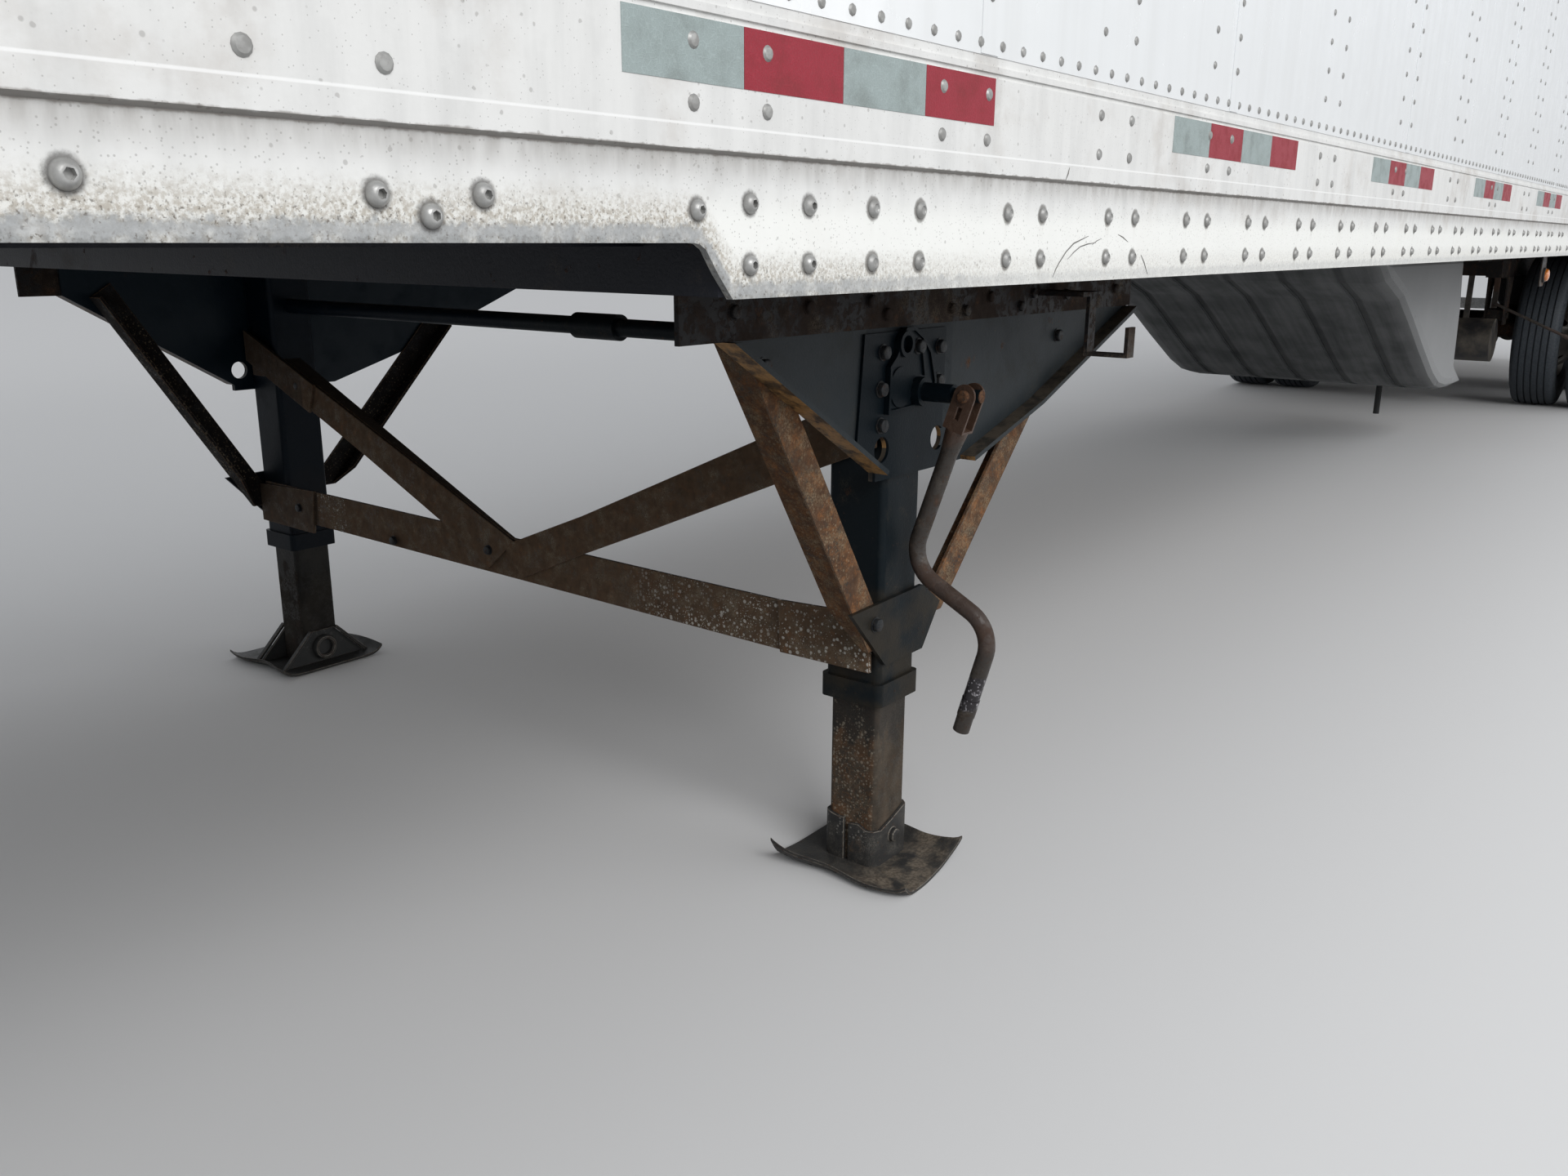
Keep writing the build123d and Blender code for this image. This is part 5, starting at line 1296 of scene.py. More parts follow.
class TRAILER_OT_tape(bpy.types.Operator):
    """Reflective tape on the rails, the rear doors and the rear guard"""

    bl_idname = "trailer.tape"
    bl_label = "Reflective tape"

    def strip(self, shape, low, high, axis, first=0):
        """Blocks of pale and red tape in turn, from high to low along an axis."""
        length = (high[axis] - low[axis]) / TAPE_BLOCKS
        for i in range(TAPE_BLOCKS):
            near, far = list(low), list(high)
            near[axis] = high[axis] - (i + 1) * length
            far[axis] = high[axis] - i * length - 0.0006
            shape.add(brick(near, far), number=(i + first) % 2)

    def execute(self, context):
        looks = ["tape_pale", "tape_red"]
        for side, sign in SIDES.items():
            shape = Shape()
            faces = across_side(sign, RAIL_Y, RAIL_Y + TAPE_SKIN)
            x = TAPE_START_X + 2 * TAPE_PITCH
            while x - TAPE_LENGTH > RAIL_LOW.x:
                if x < RAIL_HIGH.x:
                    low, high = (x - TAPE_LENGTH, faces[0], TAPE_LOW), (x, faces[1], TAPE_HIGH)
                    self.strip(shape, low, high, 0)
                x -= TAPE_PITCH
            shape.piece("rail_tape_" + side, looks, slot="rail_aluminium")
            shape = Shape()
            faces = across_side(sign, 0.03, PANEL_HIGH.y - 0.03)
            low = (PANEL_LOW.x - TAPE_SKIN, faces[0], PANEL_LOW.z + 0.03)
            high = (PANEL_LOW.x, faces[1], PANEL_LOW.z + 0.083)
            self.strip(shape, low, high, 1)
            shape.piece("door_tape_" + side, looks, "door_" + side, "white_sheet")
        shape = Shape()
        x = GUARD_LOW.x
        middle = GUARD_LOW.z + 0.05
        for i in range(3):
            reach = (GUARD_HIGH.y - GUARD_LOW.y) / 3
            y = GUARD_LOW.y + i * reach
            low, high = (x - TAPE_SKIN, y + 0.02, middle - 0.026), (x, y + reach - 0.02, middle + 0.026)
            self.strip(shape, low, high, 1, i)
        for sign in (-1, 1):
            ends = across_side(sign, POST_HIGH.y - 0.39, POST_HIGH.y - 0.09)
            x = HEADER_LOW.x + 0.035
            z = HEADER_HIGH.z - 0.04
            shape.add(brick((x - TAPE_SKIN, ends[0], z - 0.05), (x, ends[1], z)), number=0)
        shape.piece("rear_tape", looks, slot="rail_aluminium")
        return {"FINISHED"}


# The bars of the landing gear. Each corner edge is (top x, top z, foot x, foot z, way its flange faces)
SIDE_BARS = ((4.849, 0.961, 4.513, 0.425, 1), (3.883, 0.853, 4.2756, 0.45, -1))
BAR_FACE_Y = 0.956
BAR_WIDTH = 0.057
BAR_FLANGE = 0.05
BAR_SKIN = 0.008
BAR_GAP = 0.0004
BAND_FACE = 4.477
BAND_SKIN = 0.008
CRANK_PIN_X = 4.415
CRANK_PIN_Y = 1.073
CRANK_PIN_Z = 0.859

# Outlines across the trailer as (y, z): the band, its lap plates and the two arms of the V
BAND_OUTLINE = ((-0.93, 0.4903), (0.93, 0.4723), (0.93, 0.3785), (-0.93, 0.4078))
NEAR_LAP = ((0.7462, 0.4771), (0.945, 0.486), (0.945, 0.381), (0.7515, 0.38))
FAR_LAP = ((-0.7029, 0.4915), (-0.7181, 0.3837), (-0.945, 0.388), (-0.945, 0.484))
FAR_ARM = (
    (-0.935, 0.8677), (-0.6646, 0.7578), (-0.4734, 0.6811), (-0.2144, 0.5781), (0.036, 0.4766),
    (-0.052, 0.4035), (-0.112, 0.4345), (-0.2049, 0.487), (-0.4834, 0.6102), (-0.6649, 0.6864),
    (-0.935, 0.7993),
)
FAR_ARM_LAP = ((-0.65, 0.7562), (-0.676, 0.688), (-0.935, 0.797), (-0.935, 0.871))
NEAR_ARM = (
    (0.0, 0.4635), (0.0404, 0.4785), (0.2481, 0.5612), (0.4476, 0.6487), (0.6855, 0.7535), (0.946, 0.868),
    (0.946, 0.771), (0.7314, 0.6826), (0.4451, 0.5629), (0.2438, 0.4806), (0.13, 0.43), (0.058, 0.4),
)


class TRAILER_OT_leg_bars(bpy.types.Operator):
    """Angle bars beside the legs, and the band and the V of arms between them"""

    bl_idname = "trailer.leg_bars"
    bl_label = "Landing gear bars"

    def execute(self, context):
        shape = Shape()
        for sign in SIDES.values():
            mirror = Matrix.Scale(sign, 4, (0, 1, 0))
            for top_x, top_z, foot_x, foot_z, way in SIDE_BARS:
                run = math.hypot(foot_x - top_x, foot_z - top_z)
                along = Vector(((foot_x - top_x) / run, 0.0, (foot_z - top_z) / run))
                across = Vector((along.z, 0.0, -along.x))
                if across.x * way > 0:
                    across = -across
                axes = Matrix((along, (0, 1, 0), across)).transposed().to_4x4()
                seat = mirror @ Matrix.Translation((top_x, BAR_FACE_Y, top_z)) @ axes
                ends = [(foot_z - top_z - across.z * part) / along.z for part in (BAR_GAP, BAR_WIDTH)]
                web = [(0, BAR_GAP), (ends[0], BAR_GAP), (ends[1], BAR_WIDTH), (0, BAR_WIDTH)]
                shape.add(prism(web, 1, -BAR_SKIN, 0.0), seat)
                cut = run - 0.095 + 1.4 * (foot_z - 0.425)
                flange = [
                    (0, -BAR_GAP), (run, -BAR_GAP), (run, -0.012), (cut, -BAR_FLANGE), (0, -BAR_FLANGE),
                ]
                shape.add(prism(flange, 2, 0.0, BAR_SKIN), seat)
        made = shape.piece(
            "side_bars", ["brace_brown", "brace_edge"], slot="rusty_steel", edge=0.0013, worn=1,
        )
        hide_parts("fore_aft_braces")
        shape = Shape()
        front = BAND_FACE + BAND_SKIN
        shape.add(prism(BAND_OUTLINE, 0, BAND_FACE, front))
        for outline in (NEAR_LAP, FAR_LAP, FAR_ARM):
            shape.add(prism(outline, 0, front, front + BAND_SKIN))
        shape.add(prism(NEAR_ARM, 0, front, front + BAND_SKIN - 0.0006))
        shape.add(prism(FAR_ARM_LAP, 0, front + BAND_SKIN, front + 1.9 * BAND_SKIN))
        for side in (-0.935, 0.86):
            shape.add(brick((BAND_FACE, side, 0.76), (front, side + 0.075, 0.81)))
        ends = []
        for drop in (-BAND_SKIN, 0.0):
            for side, height, depth in ((-0.79, 0.8087, 0.045), (0.034, 0.4775, 0.008)):
                ends += [(front, side, height + drop), (front - depth, side, height + drop)]
        a, b, c, d, e, f, g, h = ends
        shape.add(block_of([a, b, d, c, e, f, h, g]))
        made = shape.piece(
            "cross_bars", ["band_brown", "brace_edge"], slot="rusty_steel", edge=0.0011, worn=1,
        )
        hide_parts("cross_brace")
        return {"FINISHED"}


# The sand shoes, in metres
SHOE_SKIN = 0.007
# The near shoe's corners on the ground as (x, y), from the rear inboard one outwards and forwards
SHOE_CORNERS = ((4.298, 0.782), (4.318, 1.046), (4.534, 1.058), (4.556, 0.785))
SHOE_CELLS = 28
SOCKET_GAP_Y = 0.893
SOCKET_INNER = 0.0506
SOCKET_SKIN = 0.007
# The far shoe's ears
EAR_OUTLINE = ((-0.118, 0.007), (0.118, 0.007), (0.034, 0.092), (-0.034, 0.092))
EAR_RIM = ((0.118, 0.007), (0.034, 0.092), (0.039, 0.097), (0.125, 0.011))
EAR_SKIN = 0.007
EAR_BOSS_Z = 0.046


class TRAILER_OT_sand_shoes(bpy.types.Operator):
    """Bent and curled feet of the landing gear"""

    bl_idname = "trailer.sand_shoes"
    bl_label = "Sand shoes"

    def near_height(self, u, v):
        """How far the near shoe's plate has curled up, from rear to front by u and outboard by v."""
        front = max(0.0, (u - 0.86) / 0.14)
        lip = 0.017 + 0.006 * math.sin(5.5 * v + 0.6) + 0.014 * max(0.0, 1.0 - v / 0.22) ** 2
        lift = front * front * lip
        rear = max(0.0, (0.12 - u) / 0.12)
        lift += rear * rear * (0.008 + 0.006 * math.sin(4.0 * v))
        corner = max(0.0, 1.0 - math.hypot(0.9 * u, v - 1.0) / 0.36)
        lift += 0.026 * corner ** 1.6
        corner = max(0.0, 1.0 - math.hypot(u - 1.0, v * 1.1) / 0.34)
        lift += 0.01 * corner ** 1.5
        edge = max(0.0, (v - 0.93) / 0.07)
        return lift + 0.004 * edge * edge * (1.0 + math.sin(7.0 * u))

    def plate(self, corners, height):
        """A bent plate as one closed form, its plan between four corners."""
        rows = []
        for a in range(SHOE_CELLS + 1):
            u = a / SHOE_CELLS
            top, bottom = [], []
            for b in range(SHOE_CELLS + 1):
                v = b / SHOE_CELLS
                rear = Vector(corners[0]).lerp(Vector(corners[1]), v)
                front = Vector(corners[3]).lerp(Vector(corners[2]), v)
                x, y = rear.lerp(front, u)
                x += 0.006 * math.sin(9.0 * v + 1.0) * u ** 4
                lift = height(u, v)
                top.append((x, y, lift + SHOE_SKIN))
                bottom.append((x, y, max(0.0, lift)))
            rows.append(top + bottom[::-1])
        points, faces = grid(rows, True)
        count = 2 * (SHOE_CELLS + 1)
        last = len(points) - count
        for i in range(SHOE_CELLS):
            faces.append([i + 1, i, count - 1 - i, count - 2 - i])
            faces.append([last + i, last + i + 1, last + count - 2 - i, last + count - 1 - i])
        return points, faces

    def socket_path(self):
        """The folded socket's path round the leg, from the gap in its front to the gap again."""
        half = SOCKET_INNER
        corners = [(half, half, 0.076), (-half, half, 0.099), (-half, -half, 0.096), (half, -half, 0.092)]
        bend = 0.014
        path = [(LEG_X + half, SOCKET_GAP_Y + 0.005, 0.081), (LEG_X + half, LEG_Y + 0.02, 0.084)]
        for i, (cx, cy, top) in enumerate(corners):
            centre_x = cx - math.copysign(bend, cx)
            centre_y = cy - math.copysign(bend, cy)
            first = math.radians(90 * i)
            for step in range(5):
                turn = first + math.radians(22.5 * step)
                x = LEG_X + centre_x + bend * math.cos(turn)
                y = LEG_Y + centre_y + bend * math.sin(turn)
                path.append((x, y, top + 0.0015 * math.sin(3.0 * step)))
            if i < 3:
                far_x, far_y, far_top = corners[i + 1]
                path.append(
                    (LEG_X + (cx + far_x) / 2, LEG_Y + (cy + far_y) / 2, (top + far_top) / 2 - 0.002)
                )
        path += [(LEG_X + half, LEG_Y - 0.02, 0.088), (LEG_X + half, SOCKET_GAP_Y - 0.004, 0.09)]
        return path

    def execute(self, context):
        shape = Shape()
        shape.add(self.plate(SHOE_CORNERS, self.near_height))
        shape.add(upright_wall(self.socket_path(), SOCKET_SKIN, 0.004))
        web = [(-0.0575, 0.006), (-0.0575, 0.07), (-0.098, 0.006)]
        shape.add(prism([(LEG_X + x, z) for x, z in web], 1, LEG_Y - 0.04, LEG_Y - 0.032))
        bolt = round_head(0.0125, 0.01)
        shape.stud(bolt, (LEG_X, LEG_Y + SOCKET_INNER + SOCKET_SKIN, 0.055), (0, 1, 0))
        far_y = -LEG_Y - 0.03
        corners = ((-0.145, 0.138), (-0.143, -0.138), (0.142, -0.139), (0.144, 0.139))
        corners = [(LEG_X + x, far_y + y) for x, y in corners]
        shape.add(
            self.plate(corners, lambda u, v: 0.02 * (abs(2 * u - 1.0) ** 9) * (1.0 + 0.2 * math.sin(6 * v)))
        )
        ring = [
            (0.021, -0.001), (0.021, 0.012), (0.024, 0.0155), (0.029, 0.0155), (0.0325, 0.011),
            (0.0335, -0.001),
        ]
        disc = turned([(0.021, 0.0002), (0.0, 0.0006)], 28)
        for way in (1, -1):
            face_y = -LEG_Y + way * (LOWER_HALF + 0.0006)
            outer_y = face_y + way * EAR_SKIN
            ear = [(LEG_X + x, z) for x, z in EAR_OUTLINE]
            shape.add(prism(ear, 1, *sorted((face_y, outer_y))))
            for side in (-1, 1):
                rim = [(LEG_X + side * x, z) for x, z in EAR_RIM]
                shape.add(prism(rim, 1, *sorted((outer_y, outer_y + way * 0.012))))
            shape.stud(turned(ring, 28), (LEG_X, outer_y, EAR_BOSS_Z), (0, way, 0))
            shape.stud(disc, (LEG_X, outer_y, EAR_BOSS_Z), (0, way, 0), number=2)
        made = shape.piece(
            "curled_shoes", ["shoe_dusty", "shoe_edge", "rubber_black"], slot="greasy_steel", edge=0.0012,
            worn=1,
        )
        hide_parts("sand_shoes")
        return {"FINISHED"}


# How far the faces that carry bolts stand out from a leg's middle
PAD_FACE = 0.07
PLATE_FACE = 0.065
COVER_FACE = 0.076
CHANNEL_FACE = 0.073
# Bolt heads as (x, how far out, height), and those of the channels as (x, height)
GEAR_BOLTS = (
    (4.511, PAD_FACE, 0.9275), (4.516, PAD_FACE, 0.87), (4.5135, PAD_FACE, 0.812), (4.34, PAD_FACE, 0.927),
    (4.342, PAD_FACE, 0.87), (4.8087, PLATE_FACE, 0.9267), (3.887, PLATE_FACE, 0.92),
    (4.416, COVER_FACE, 0.932), (4.505, PLATE_FACE, 0.476),
)
CHANNEL_BOLTS = (
    (4.8814, 1.005), (4.7149, 1.005), (4.5556, 1.008), (4.5106, 0.9866), (4.3104, 0.9876), (4.2635, 0.9825),
    (4.1787, 1.0029), (4.0623, 0.9825), (4.015, 1.004), (3.8764, 0.9978), (3.6466, 1.0029),
)


class TRAILER_OT_gear_fasteners(bpy.types.Operator):
    """Bolt heads of the landing gear and its braces"""

    bl_idname = "trailer.gear_fasteners"
    bl_label = "Landing gear bolts"

    def execute(self, context):
        radius = sizes().hex_head_radius
        head = round_head(radius, 0.0105)
        small = round_head(0.85 * radius, 0.008)
        shape = Shape()
        for sign in SIDES.values():
            for x, out, z in GEAR_BOLTS:
                shape.stud(head, (x, sign * (LEG_Y + out), z), (0, sign, 0), x)
            for x, z in CHANNEL_BOLTS:
                shape.stud(small, (x, sign * (LEG_Y + CHANNEL_FACE), z), (0, sign, 0), 3 * x, 1)
        for side, z in ((-0.0461, 0.4461), (-0.7703, 0.4424), (-0.7237, 0.7483), (-0.386, 0.4162)):
            shape.stud(small, (BAND_FACE + 2 * BAND_SKIN, side, z), (1, 0, 0), z)
        pin = turned([(0.0095, 0.0), (0.0105, 0.002), (0.0105, 0.006), (0.008, 0.008), (0.0, 0.008)], 14)
        shape.stud(pin, (CRANK_PIN_X + 0.0175, CRANK_PIN_Y, CRANK_PIN_Z), (1, 0, 0), number=2)
        end = turned([(0.0104, 0.0), (0.01, 0.0012), (0.0, 0.0016)], 16)
        shape.stud(end, (LEG_X - 0.005, CRANK_PIN_Y + 0.022, CRANK_PIN_Z), (0, 1, 0), number=2)
        shape.piece("gear_bolts", ["gear_bolt", "channel_brown", "bolt_rust"], slot="gear_steel")
        shape = Shape()
        flap_low, flap_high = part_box("mud_flaps")
        for sign in SIDES.values():
            for i in range(4):
                y = sign * (0.74 + 0.16 * i)
                shape.stud(small, (flap_high.x, y, flap_high.z - 0.035), (1, 0, 0))
                shape.stud(small, (flap_low.x, y, flap_high.z - 0.025), (-1, 0, 0))
        shape.piece("flap_bolts", ["bolt_dark"], slot="galvanised")
        return {"FINISHED"}


def tyre_outline():
    """A tyre's section as (radius, place across), from one bead over the tread to the other."""
    half = 0.1398
    wall = [
        (0.3045, 0.104), (0.311, 0.1165), (0.322, 0.1195), (0.345, 0.1262), (0.349, 0.1292),
        (0.354, 0.1285), (0.375, 0.1335), (0.402, half - 0.0012), (0.426, half), (0.448, half - 0.0022),
        (0.452, half - 0.0004), (0.457, half - 0.0035), (0.474, 0.1305), (0.482, 0.1275), (0.486, 0.129),
        (0.494, 0.1245), (0.5005, 0.1165),
    ]
    tread = [(0.5045, 0.108)]
    for groove in (0.08, 0.04, 0.0):
        for y, radius in ((groove + 0.0052, 0.5095), (groove + 0.0034, 0.4975)):
            tread.append((radius - 0.0012 * (abs(y) / 0.1) ** 2 * 2, y))
        if groove:
            for y, radius in ((groove - 0.0034, 0.4975), (groove - 0.0052, 0.5095)):
                tread.append((radius - 0.0012 * (abs(y) / 0.1) ** 2 * 2, y))
    near = wall + tread
    return near + [(radius, -y) for radius, y in reversed(near)]


class TRAILER_OT_tyres(bpy.types.Operator):
    """Tyres with their grooves and side wall rings, and the nuts and hub caps of the wheels"""

    bl_idname = "trailer.tyres"
    bl_label = "Tyres and wheel nuts"

    def execute(self, context):
        casing = turned(tyre_outline(), 96)
        nut = hex_head(0.0185, 0.022, 1.25)
        cap_outline = [
            (0.0725, -0.002), (0.079, 0.0), (0.079, 0.007), (0.07, 0.01), (0.056, 0.012), (0.053, 0.034),
            (0.049, 0.04), (0.04, 0.041), (0.0385, 0.0385), (0.0, 0.0375),
        ]
        cap = turned(cap_outline, 36)
        small = hex_head(0.0065, 0.006, 1.2)
        for axle, axle_x in AXLES.items():
            for side, sign in SIDES.items():
                body = "twin_%s_%s" % (axle, side)
                shape = Shape()
                for offset in (-TWIN_SPACING / 2, TWIN_SPACING / 2):
                    shape.stud(casing, (0, offset, 0), (0, 1, 0))
                made = shape.piece(
                    "tyre_pair_%s_%s" % (axle, side), ["tyre_worn"], body, "tyre_rubber", 30.0,
                )
                made.location = (axle_x, sign * TWIN_MIDDLE_Y, TYRE_RADIUS)
                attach(made, body)
                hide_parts("tyres_%s_%s" % (axle, side))
                _, hub_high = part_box("hub_%s_left" % axle)
                shape = Shape()
                shape.stud(cap, (axle_x, sign * hub_high.y, TYRE_RADIUS), (0, sign, 0), number=1)
                for i in range(6):
                    turn = 2 * math.pi * i / 6
                    x, z = axle_x + 0.0735 * math.sin(turn), TYRE_RADIUS + 0.0735 * math.cos(turn)
                    shape.stud(small, (x, sign * (hub_high.y + 0.0068), z), (0, sign, 0), turn)
                for i in range(10):
                    turn = 2 * math.pi * (i + 0.5) / 10
                    x, z = axle_x + 0.1429 * math.sin(turn), TYRE_RADIUS + 0.1429 * math.cos(turn)
                    shape.stud(nut, (x, sign * (TWIN_MIDDLE_Y + 0.012), z), (0, sign, 0), turn)
                shape.piece(
                    "wheel_nuts_%s_%s" % (axle, side), ["bolt_dark", "cast_dull"], body, "wheel_paint",
                )
        return {"FINISHED"}


# The doors' hinge straps and lock rods, in metres
STRAP_LOW_Z = 1.42
STRAP_PITCH = 0.5775
STRAP_COUNT = 5
ROD_PLACES = (0.905, 0.315)
GUIDE_HEIGHTS = (1.345, 2.605, 3.835)
HANDLE_Z = 1.464
SEAL_WIDTH = 0.022
# A handle's hook as (how far behind the panel, how far below the handle)
HOOK_OUTLINE = ((0.006, 0.03), (0.03, 0.03), (0.03, 0.016), (0.026, 0.016), (0.026, 0.025), (0.006, 0.025))
# Outlines as (across, up): a rod's guide plate and the plate behind a handle's hook
ROD_PLATE = (
    (-0.066, -0.016), (-0.05, -0.028), (0.05, -0.028), (0.066, -0.016), (0.066, 0.016), (0.05, 0.028),
    (-0.05, 0.028), (-0.066, 0.016),
)
KEEPER_PLATE = (
    (-0.045, -0.04), (0.045, -0.04), (0.045, 0.055), (0.03, 0.07), (-0.03, 0.07), (-0.045, 0.055),
)


class TRAILER_OT_doors(bpy.types.Operator):
    """Seals, rivets, rod guides and bolts of the rear doors"""

    bl_idname = "trailer.doors"
    bl_label = "Door details"

    def execute(self, context):
        rivet = dome(sizes().sheet_rivet_radius, RIVET_HEIGHT, 8)
        bolt = dome(0.01, 0.0055, 12)
        face = PANEL_LOW.x
        for side, sign in SIDES.items():
            low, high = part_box("door_panel_" + side)
            body = "door_" + side
            shape = Shape()
            y0, y1 = low.y, high.y
            inner0, inner1 = y0 + SEAL_WIDTH, y1 - SEAL_WIDTH
            for a, b, z0, z1 in (
                (y0, inner0, low.z, high.z),
                (inner1, y1, low.z, high.z),
                (inner0, inner1, low.z, low.z + SEAL_WIDTH),
                (inner0, inner1, high.z - SEAL_WIDTH, high.z),
            ):
                shape.add(brick((face - 0.002, a, z0), (face, b, z1)))
            shape.piece("door_seal_" + side, ["rubber_black"], body, "rubber_black")
            shape = Shape()
            for z in (low.z + 0.125, high.z - 0.05):
                for i in range(12):
                    shape.stud(rivet, (face, y0 + 0.06 + i * (y1 - y0 - 0.12) / 11, z), (-1, 0, 0))
            for y in (y0 + 0.045, y1 - 0.045):
                for i in range(26):
                    shape.stud(rivet, (face, y, low.z + 0.2 + i * (high.z - low.z - 0.3) / 25), (-1, 0, 0))
            shape.piece("door_rivets_" + side, ["rivet_steel"], body, "galvanised")
            shape = Shape()
            for i in range(STRAP_COUNT):
                for y in (1.118, 1.172):
                    shape.stud(
                        bolt, (face - 0.006, sign * y, STRAP_LOW_Z + i * STRAP_PITCH + 0.03), (-1, 0, 0),
                        number=1,
                    )
            for y in ROD_PLACES:
                for z in GUIDE_HEIGHTS:
                    shape.add(
                        prism(
                            [(sign * y + a, z + b) for a, b in ROD_PLATE], 0, face - 0.0045, face - 0.0002,
                        )
                    )
                    for a in (-0.05, 0.05):
                        shape.stud(bolt, (face - 0.0045, sign * y + a, z), (-1, 0, 0), number=1)
            for y, way in zip(ROD_PLACES, (-1, 1)):
                end = y + way * 0.245
                shape.add(
                    prism(
                        [(sign * end + a, HANDLE_Z + b) for a, b in KEEPER_PLATE], 0, face - 0.006,
                        face - 0.0002,
                    )
                )
                hook = [(face - out, HANDLE_Z - down) for out, down in HOOK_OUTLINE]
                shape.add(prism(hook, 1, sign * end - 0.018, sign * end + 0.018))
                for a in (-0.03, 0.03):
                    shape.stud(bolt, (face - 0.006, sign * end + a, HANDLE_Z + 0.048), (-1, 0, 0), number=1)
            shape.piece(
                "door_fittings_" + side, ["zinc_spangle", "rivet_steel"], body, "galvanised", edge=0.0006,
            )
        return {"FINISHED"}


class TRAILER_OT_lamps(bpy.types.Operator):
    """Lamp lenses and rims, the blank plate at the rear and the seals of the front couplings"""

    bl_idname = "trailer.lamps"
    bl_label = "Lamps and blank plate"

    def amber(self):
        """Side marker lamps: a round ribbed lens on a steel bracket under a beam."""
        shape = Shape()
        lens = [
            (0.0275, 0.0), (0.0285, 0.01), (0.027, 0.017), (0.022, 0.0215), (0.013, 0.0245), (0.0, 0.0255),
        ]
        rim = [(0.0275, 0.0), (0.033, 0.0005), (0.0335, 0.007), (0.03, 0.0095), (0.028, 0.009)]
        inner = LAMP_HIGH.y - 0.04
        low, high = LAMP_LOW.z, LAMP_HIGH.z
        for sign in SIDES.values():
            across = across_side(sign, inner, inner + 0.005)
            outline = [
                (-0.688, high), (-0.562, high), (-0.562, low + 0.02), (-0.582, low), (-0.668, low),
                (-0.688, low + 0.02),
            ]
            shape.add(prism(outline, 1, *across), number=1)
            across = across_side(sign, inner, LAMP_HIGH.y)
            shape.add(brick((-0.69, across[0], high - 0.005), (LAMP_HIGH.x, across[1], high)), number=1)
            seat = facing((-0.64, sign * (inner + 0.005), 0.955), (0, sign, 0))
            shape.add(turned(lens, 28), seat)
            shape.add(turned(rim, 28), seat, 2)
        made = shape.piece(
            "side_markers", ["lens_amber", "frame_black", "rubber_black"], slot="amber_lens", edge=0.0006,
        )
        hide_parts("amber_lamps")

    def execute(self, context):
        self.amber()
        shape = Shape()
        low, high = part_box("red_lamps")
        lens = [(0.0475, 0.0), (0.0475, 0.0015), (0.044, 0.0035), (0.032, 0.0055), (0.0, 0.0065)]
        rim = [(0.0495, -0.0175), (0.0585, -0.0175), (0.059, -0.006), (0.0545, 0.0015), (0.0495, 0.0015)]
        for sign in SIDES.values():
            for y in (0.56, 0.72):
                seat = facing((low.x, sign * y, low.z + 0.05), (-1, 0, 0))
                shape.add(turned(lens, 32), seat)
                shape.add(turned(rim, 32), seat, 1)
        for y in (-0.15, 0.0, 0.15):
            for a in (-0.058, 0.052):
                shape.add(
                    brick((low.x - 0.001, y + a, high.z - 0.029), (high.x, y + a + 0.006, high.z + 0.004)),
                    number=1,
                )
            for b in (-0.029, 0.0005):
                shape.add(
                    brick((low.x - 0.001, y - 0.052, high.z + b), (high.x, y + 0.052, high.z + b + 0.0035)),
                    number=1,
                )
        shape.piece("lamp_lenses", ["lens_red", "rubber_black"], slot="red_lens")
        shape = Shape()
        x = high.x
        shape.add(
            prism(((0.09, 1.062), (0.4, 1.062), (0.4, 1.178), (0.09, 1.178)), 0, x - 0.004, x - 0.0002),
            number=1,
        )
        shape.add(
            prism(
                ((0.095, 1.067), (0.395, 1.067), (0.395, 1.173), (0.095, 1.173)), 0, x - 0.0055, x - 0.004,
            )
        )
        for y in (0.11, 0.38):
            for z in (1.076, 1.164):
                shape.stud(dome(0.0045, 0.002, 10), (x - 0.0055, y, z), (-1, 0, 0), number=2)
        shape.piece(
            "blank_plate", ["plate_blank", "frame_black", "rivet_steel"], slot="galvanised", edge=0.0008,
        )
        shape = Shape()
        joint_low, joint_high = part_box("front_connectors")
        ring = [(0.0105, 0.0), (0.011, 0.0004), (0.016, 0.0006), (0.0215, 0.0004), (0.0225, 0.0)]
        collar = [(0.0285, 0.0), (0.0335, 0.001), (0.0335, 0.008), (0.0285, 0.009)]
        for y, number in ((joint_low.y + 0.035, 0), (joint_high.y - 0.035, 1)):
            shape.stud(turned(ring, 28), (joint_high.x, y, 1.33), (1, 0, 0), number=number)
            shape.stud(turned(collar, 28), (joint_low.x + 0.0205, y, 1.33), (1, 0, 0), number=number)
        shape.piece("coupling_seals", ["seal_red", "seal_blue"], slot="rubber_black")
        return {"FINISHED"}


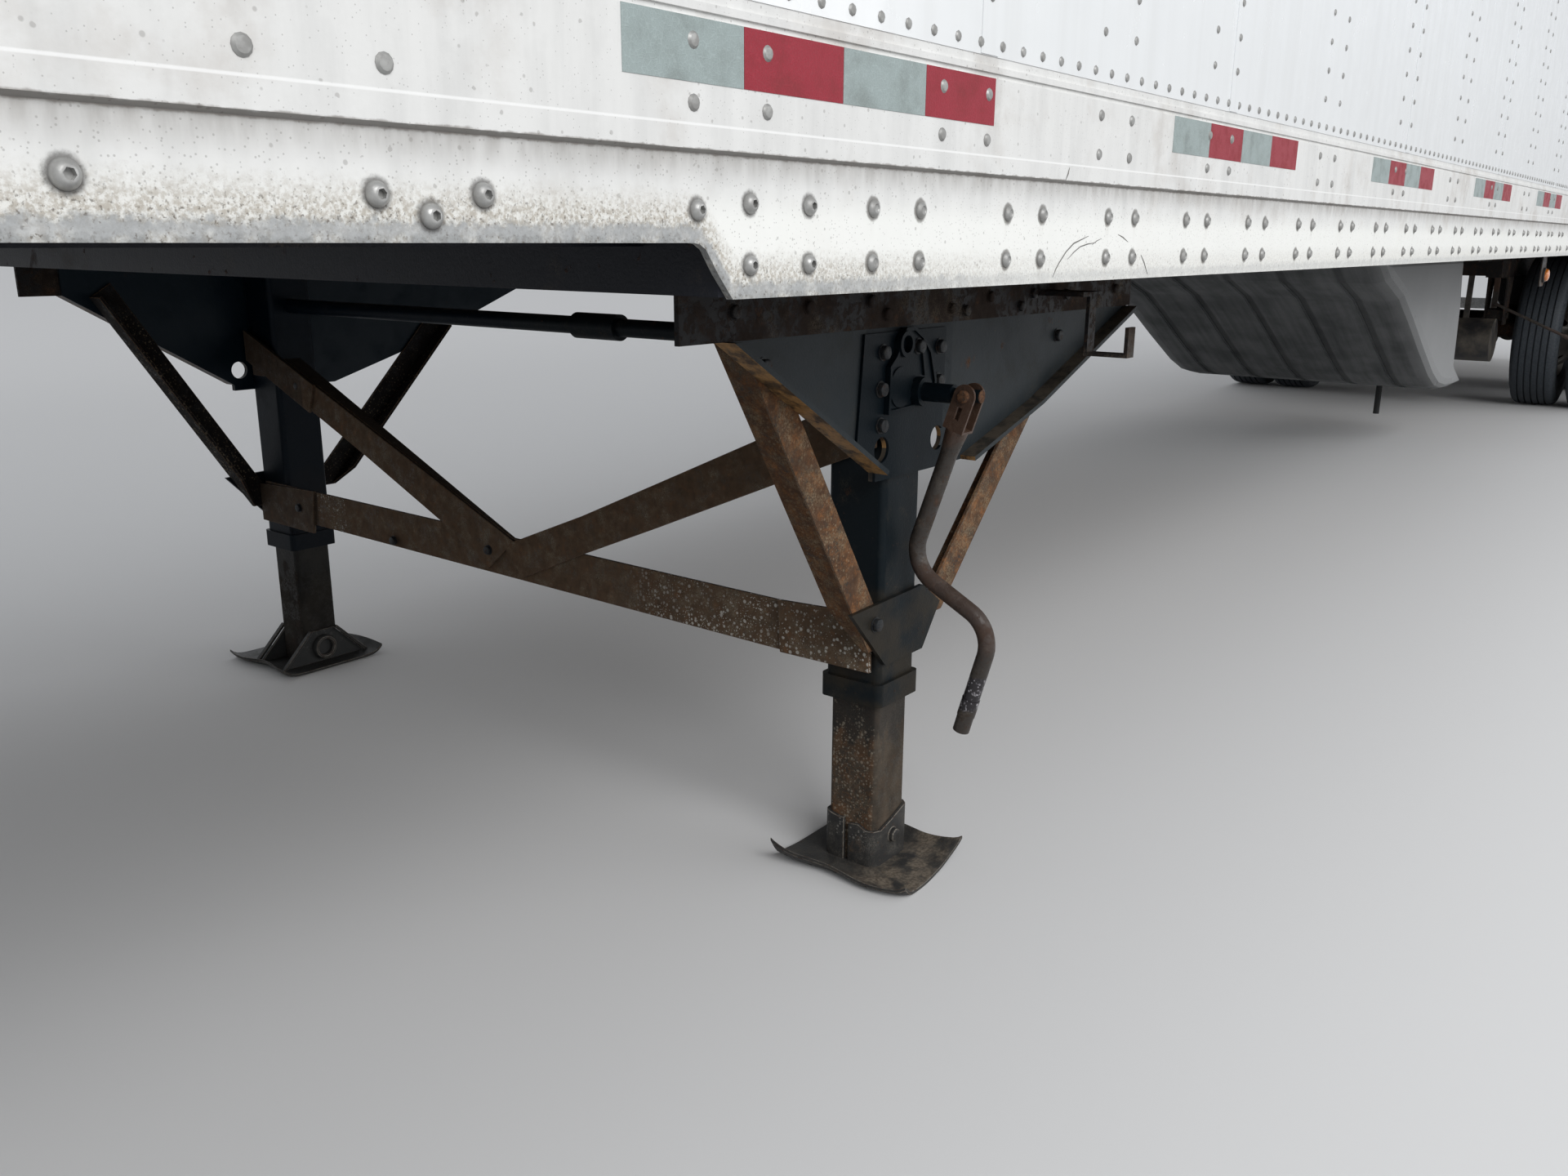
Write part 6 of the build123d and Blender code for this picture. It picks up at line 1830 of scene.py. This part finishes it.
class TRAILER_OT_stage(bpy.types.Operator):
    """Floor, lights and the camera"""

    bl_idname = "trailer.stage"
    bl_label = "Stage"

    def lamp(self, name, place, target, size, energy):
        data = bpy.data.lights.new(name, "AREA")
        data.shape = "RECTANGLE"
        data.size, data.size_y = size
        data.energy = energy
        lamp = bpy.data.objects.new(name, data)
        lamp.location = place
        aim = Vector(target) - Vector(place)
        lamp.rotation_mode = "QUATERNION"
        lamp.rotation_quaternion = aim.to_track_quat("-Z", "Y")
        bpy.context.scene.collection.objects.link(lamp)

    def floor(self):
        """A floor that is pale to the camera and dimmer in the light that it sends back."""
        graph = new_material("floor_pale")
        path = {signal.socket.name: signal for signal in graph.signals("ShaderNodeLightPath")}
        seen = path["Is Camera Ray"] | path["Is Glossy Ray"] | path["Is Transmission Ray"]
        graph.colour = graph.mix(seen, [FLOOR_BOUNCE * c for c in colours().floor], colours().floor)
        graph.shade(0.9)
        reach = sizes().floor_radius
        mesh = bpy.data.meshes.new("floor_ground")
        corners = [(-reach, -reach, 0), (reach, -reach, 0), (reach, reach, 0), (-reach, reach, 0)]
        mesh.from_pydata(corners, [], [(0, 1, 2, 3)])
        mesh.materials.append(graph.material)
        ground = bpy.data.objects.new("floor_ground", mesh)
        bpy.context.scene.collection.objects.link(ground)

    def sky(self):
        world = bpy.data.worlds.new("soft_studio")
        bpy.context.scene.world = world
        world.use_nodes = True
        shade = world.node_tree.nodes["Background"]
        shade.inputs["Color"].default_value = (0.95, 0.97, 1.0, 1.0)
        shade.inputs["Strength"].default_value = 0.66

    def camera(self):
        data = bpy.data.cameras.new("photo_camera")
        data.lens = CAMERA_LENS
        data.sensor_width = CAMERA_SENSOR
        data.clip_start = 0.05
        data.clip_end = 500.0
        camera = bpy.data.objects.new("photo_camera", data)
        forward = Vector(
            (
                math.cos(CAMERA_YAW) * math.cos(CAMERA_PITCH),
                math.sin(CAMERA_YAW) * math.cos(CAMERA_PITCH),
                math.sin(CAMERA_PITCH),
            )
        )
        right = forward.cross(Vector((0, 0, 1))).normalized()
        up = right.cross(forward)
        rolled_right = math.cos(CAMERA_ROLL) * right + math.sin(CAMERA_ROLL) * up
        rolled_up = math.cos(CAMERA_ROLL) * up - math.sin(CAMERA_ROLL) * right
        turn = Matrix((rolled_right, rolled_up, -forward)).transposed()
        camera.matrix_world = Matrix.Translation(CAMERA_PLACE) @ turn.to_4x4()
        bpy.context.scene.collection.objects.link(camera)
        bpy.context.scene.camera = camera

    def execute(self, context):
        self.floor()
        self.sky()
        self.lamp("key", (9.0, 12.0, 9.0), (2.0, 0.0, 1.0), (10.0, 8.0), 1340.0)
        self.lamp("fill", (-6.0, 14.0, 5.0), (-2.0, 0.0, 1.0), (12.0, 6.0), 450.0)
        self.camera()
        context.scene.view_settings.view_transform = "Standard"
        return {"FINISHED"}


class TRAILER_PT_panel(bpy.types.Panel):
    """Lists the pieces, the sizes and the colours"""

    bl_idname = "TRAILER_PT_panel"
    bl_label = "Semi trailer"
    bl_space_type = "VIEW_3D"
    bl_region_type = "UI"
    bl_category = "Trailer"

    def draw(self, context):
        for operator in OPERATORS:
            self.layout.operator(operator.bl_idname)
        for group_name, settings in (("Sizes", sizes()), ("Colours", colours())):
            self.layout.label(text=group_name)
            for name in settings.__annotations__:
                self.layout.prop(settings, name)


OPERATORS = (
    TRAILER_OT_finishes,
    TRAILER_OT_rail_fasteners,
    TRAILER_OT_wall_rivets,
    TRAILER_OT_end_rivets,
    TRAILER_OT_tape,
    TRAILER_OT_leg_bars,
    TRAILER_OT_sand_shoes,
    TRAILER_OT_gear_fasteners,
    TRAILER_OT_tyres,
    TRAILER_OT_doors,
    TRAILER_OT_lamps,
    TRAILER_OT_stage,
)
CLASSES = (TrailerSizes, TrailerColours, *OPERATORS, TRAILER_PT_panel)


def register():
    for cls in CLASSES:
        bpy.utils.register_class(cls)
    bpy.types.Scene.trailer_sizes = PointerProperty(type=TrailerSizes)
    bpy.types.Scene.trailer_colours = PointerProperty(type=TrailerColours)


def unregister():
    del bpy.types.Scene.trailer_colours
    del bpy.types.Scene.trailer_sizes
    for cls in reversed(CLASSES):
        bpy.utils.unregister_class(cls)


def main():
    register()
    for operator in OPERATORS:
        step = operator.bl_idname.split(".")[1]
        getattr(bpy.ops.trailer, step)()


if __name__ == "__main__":
    main()
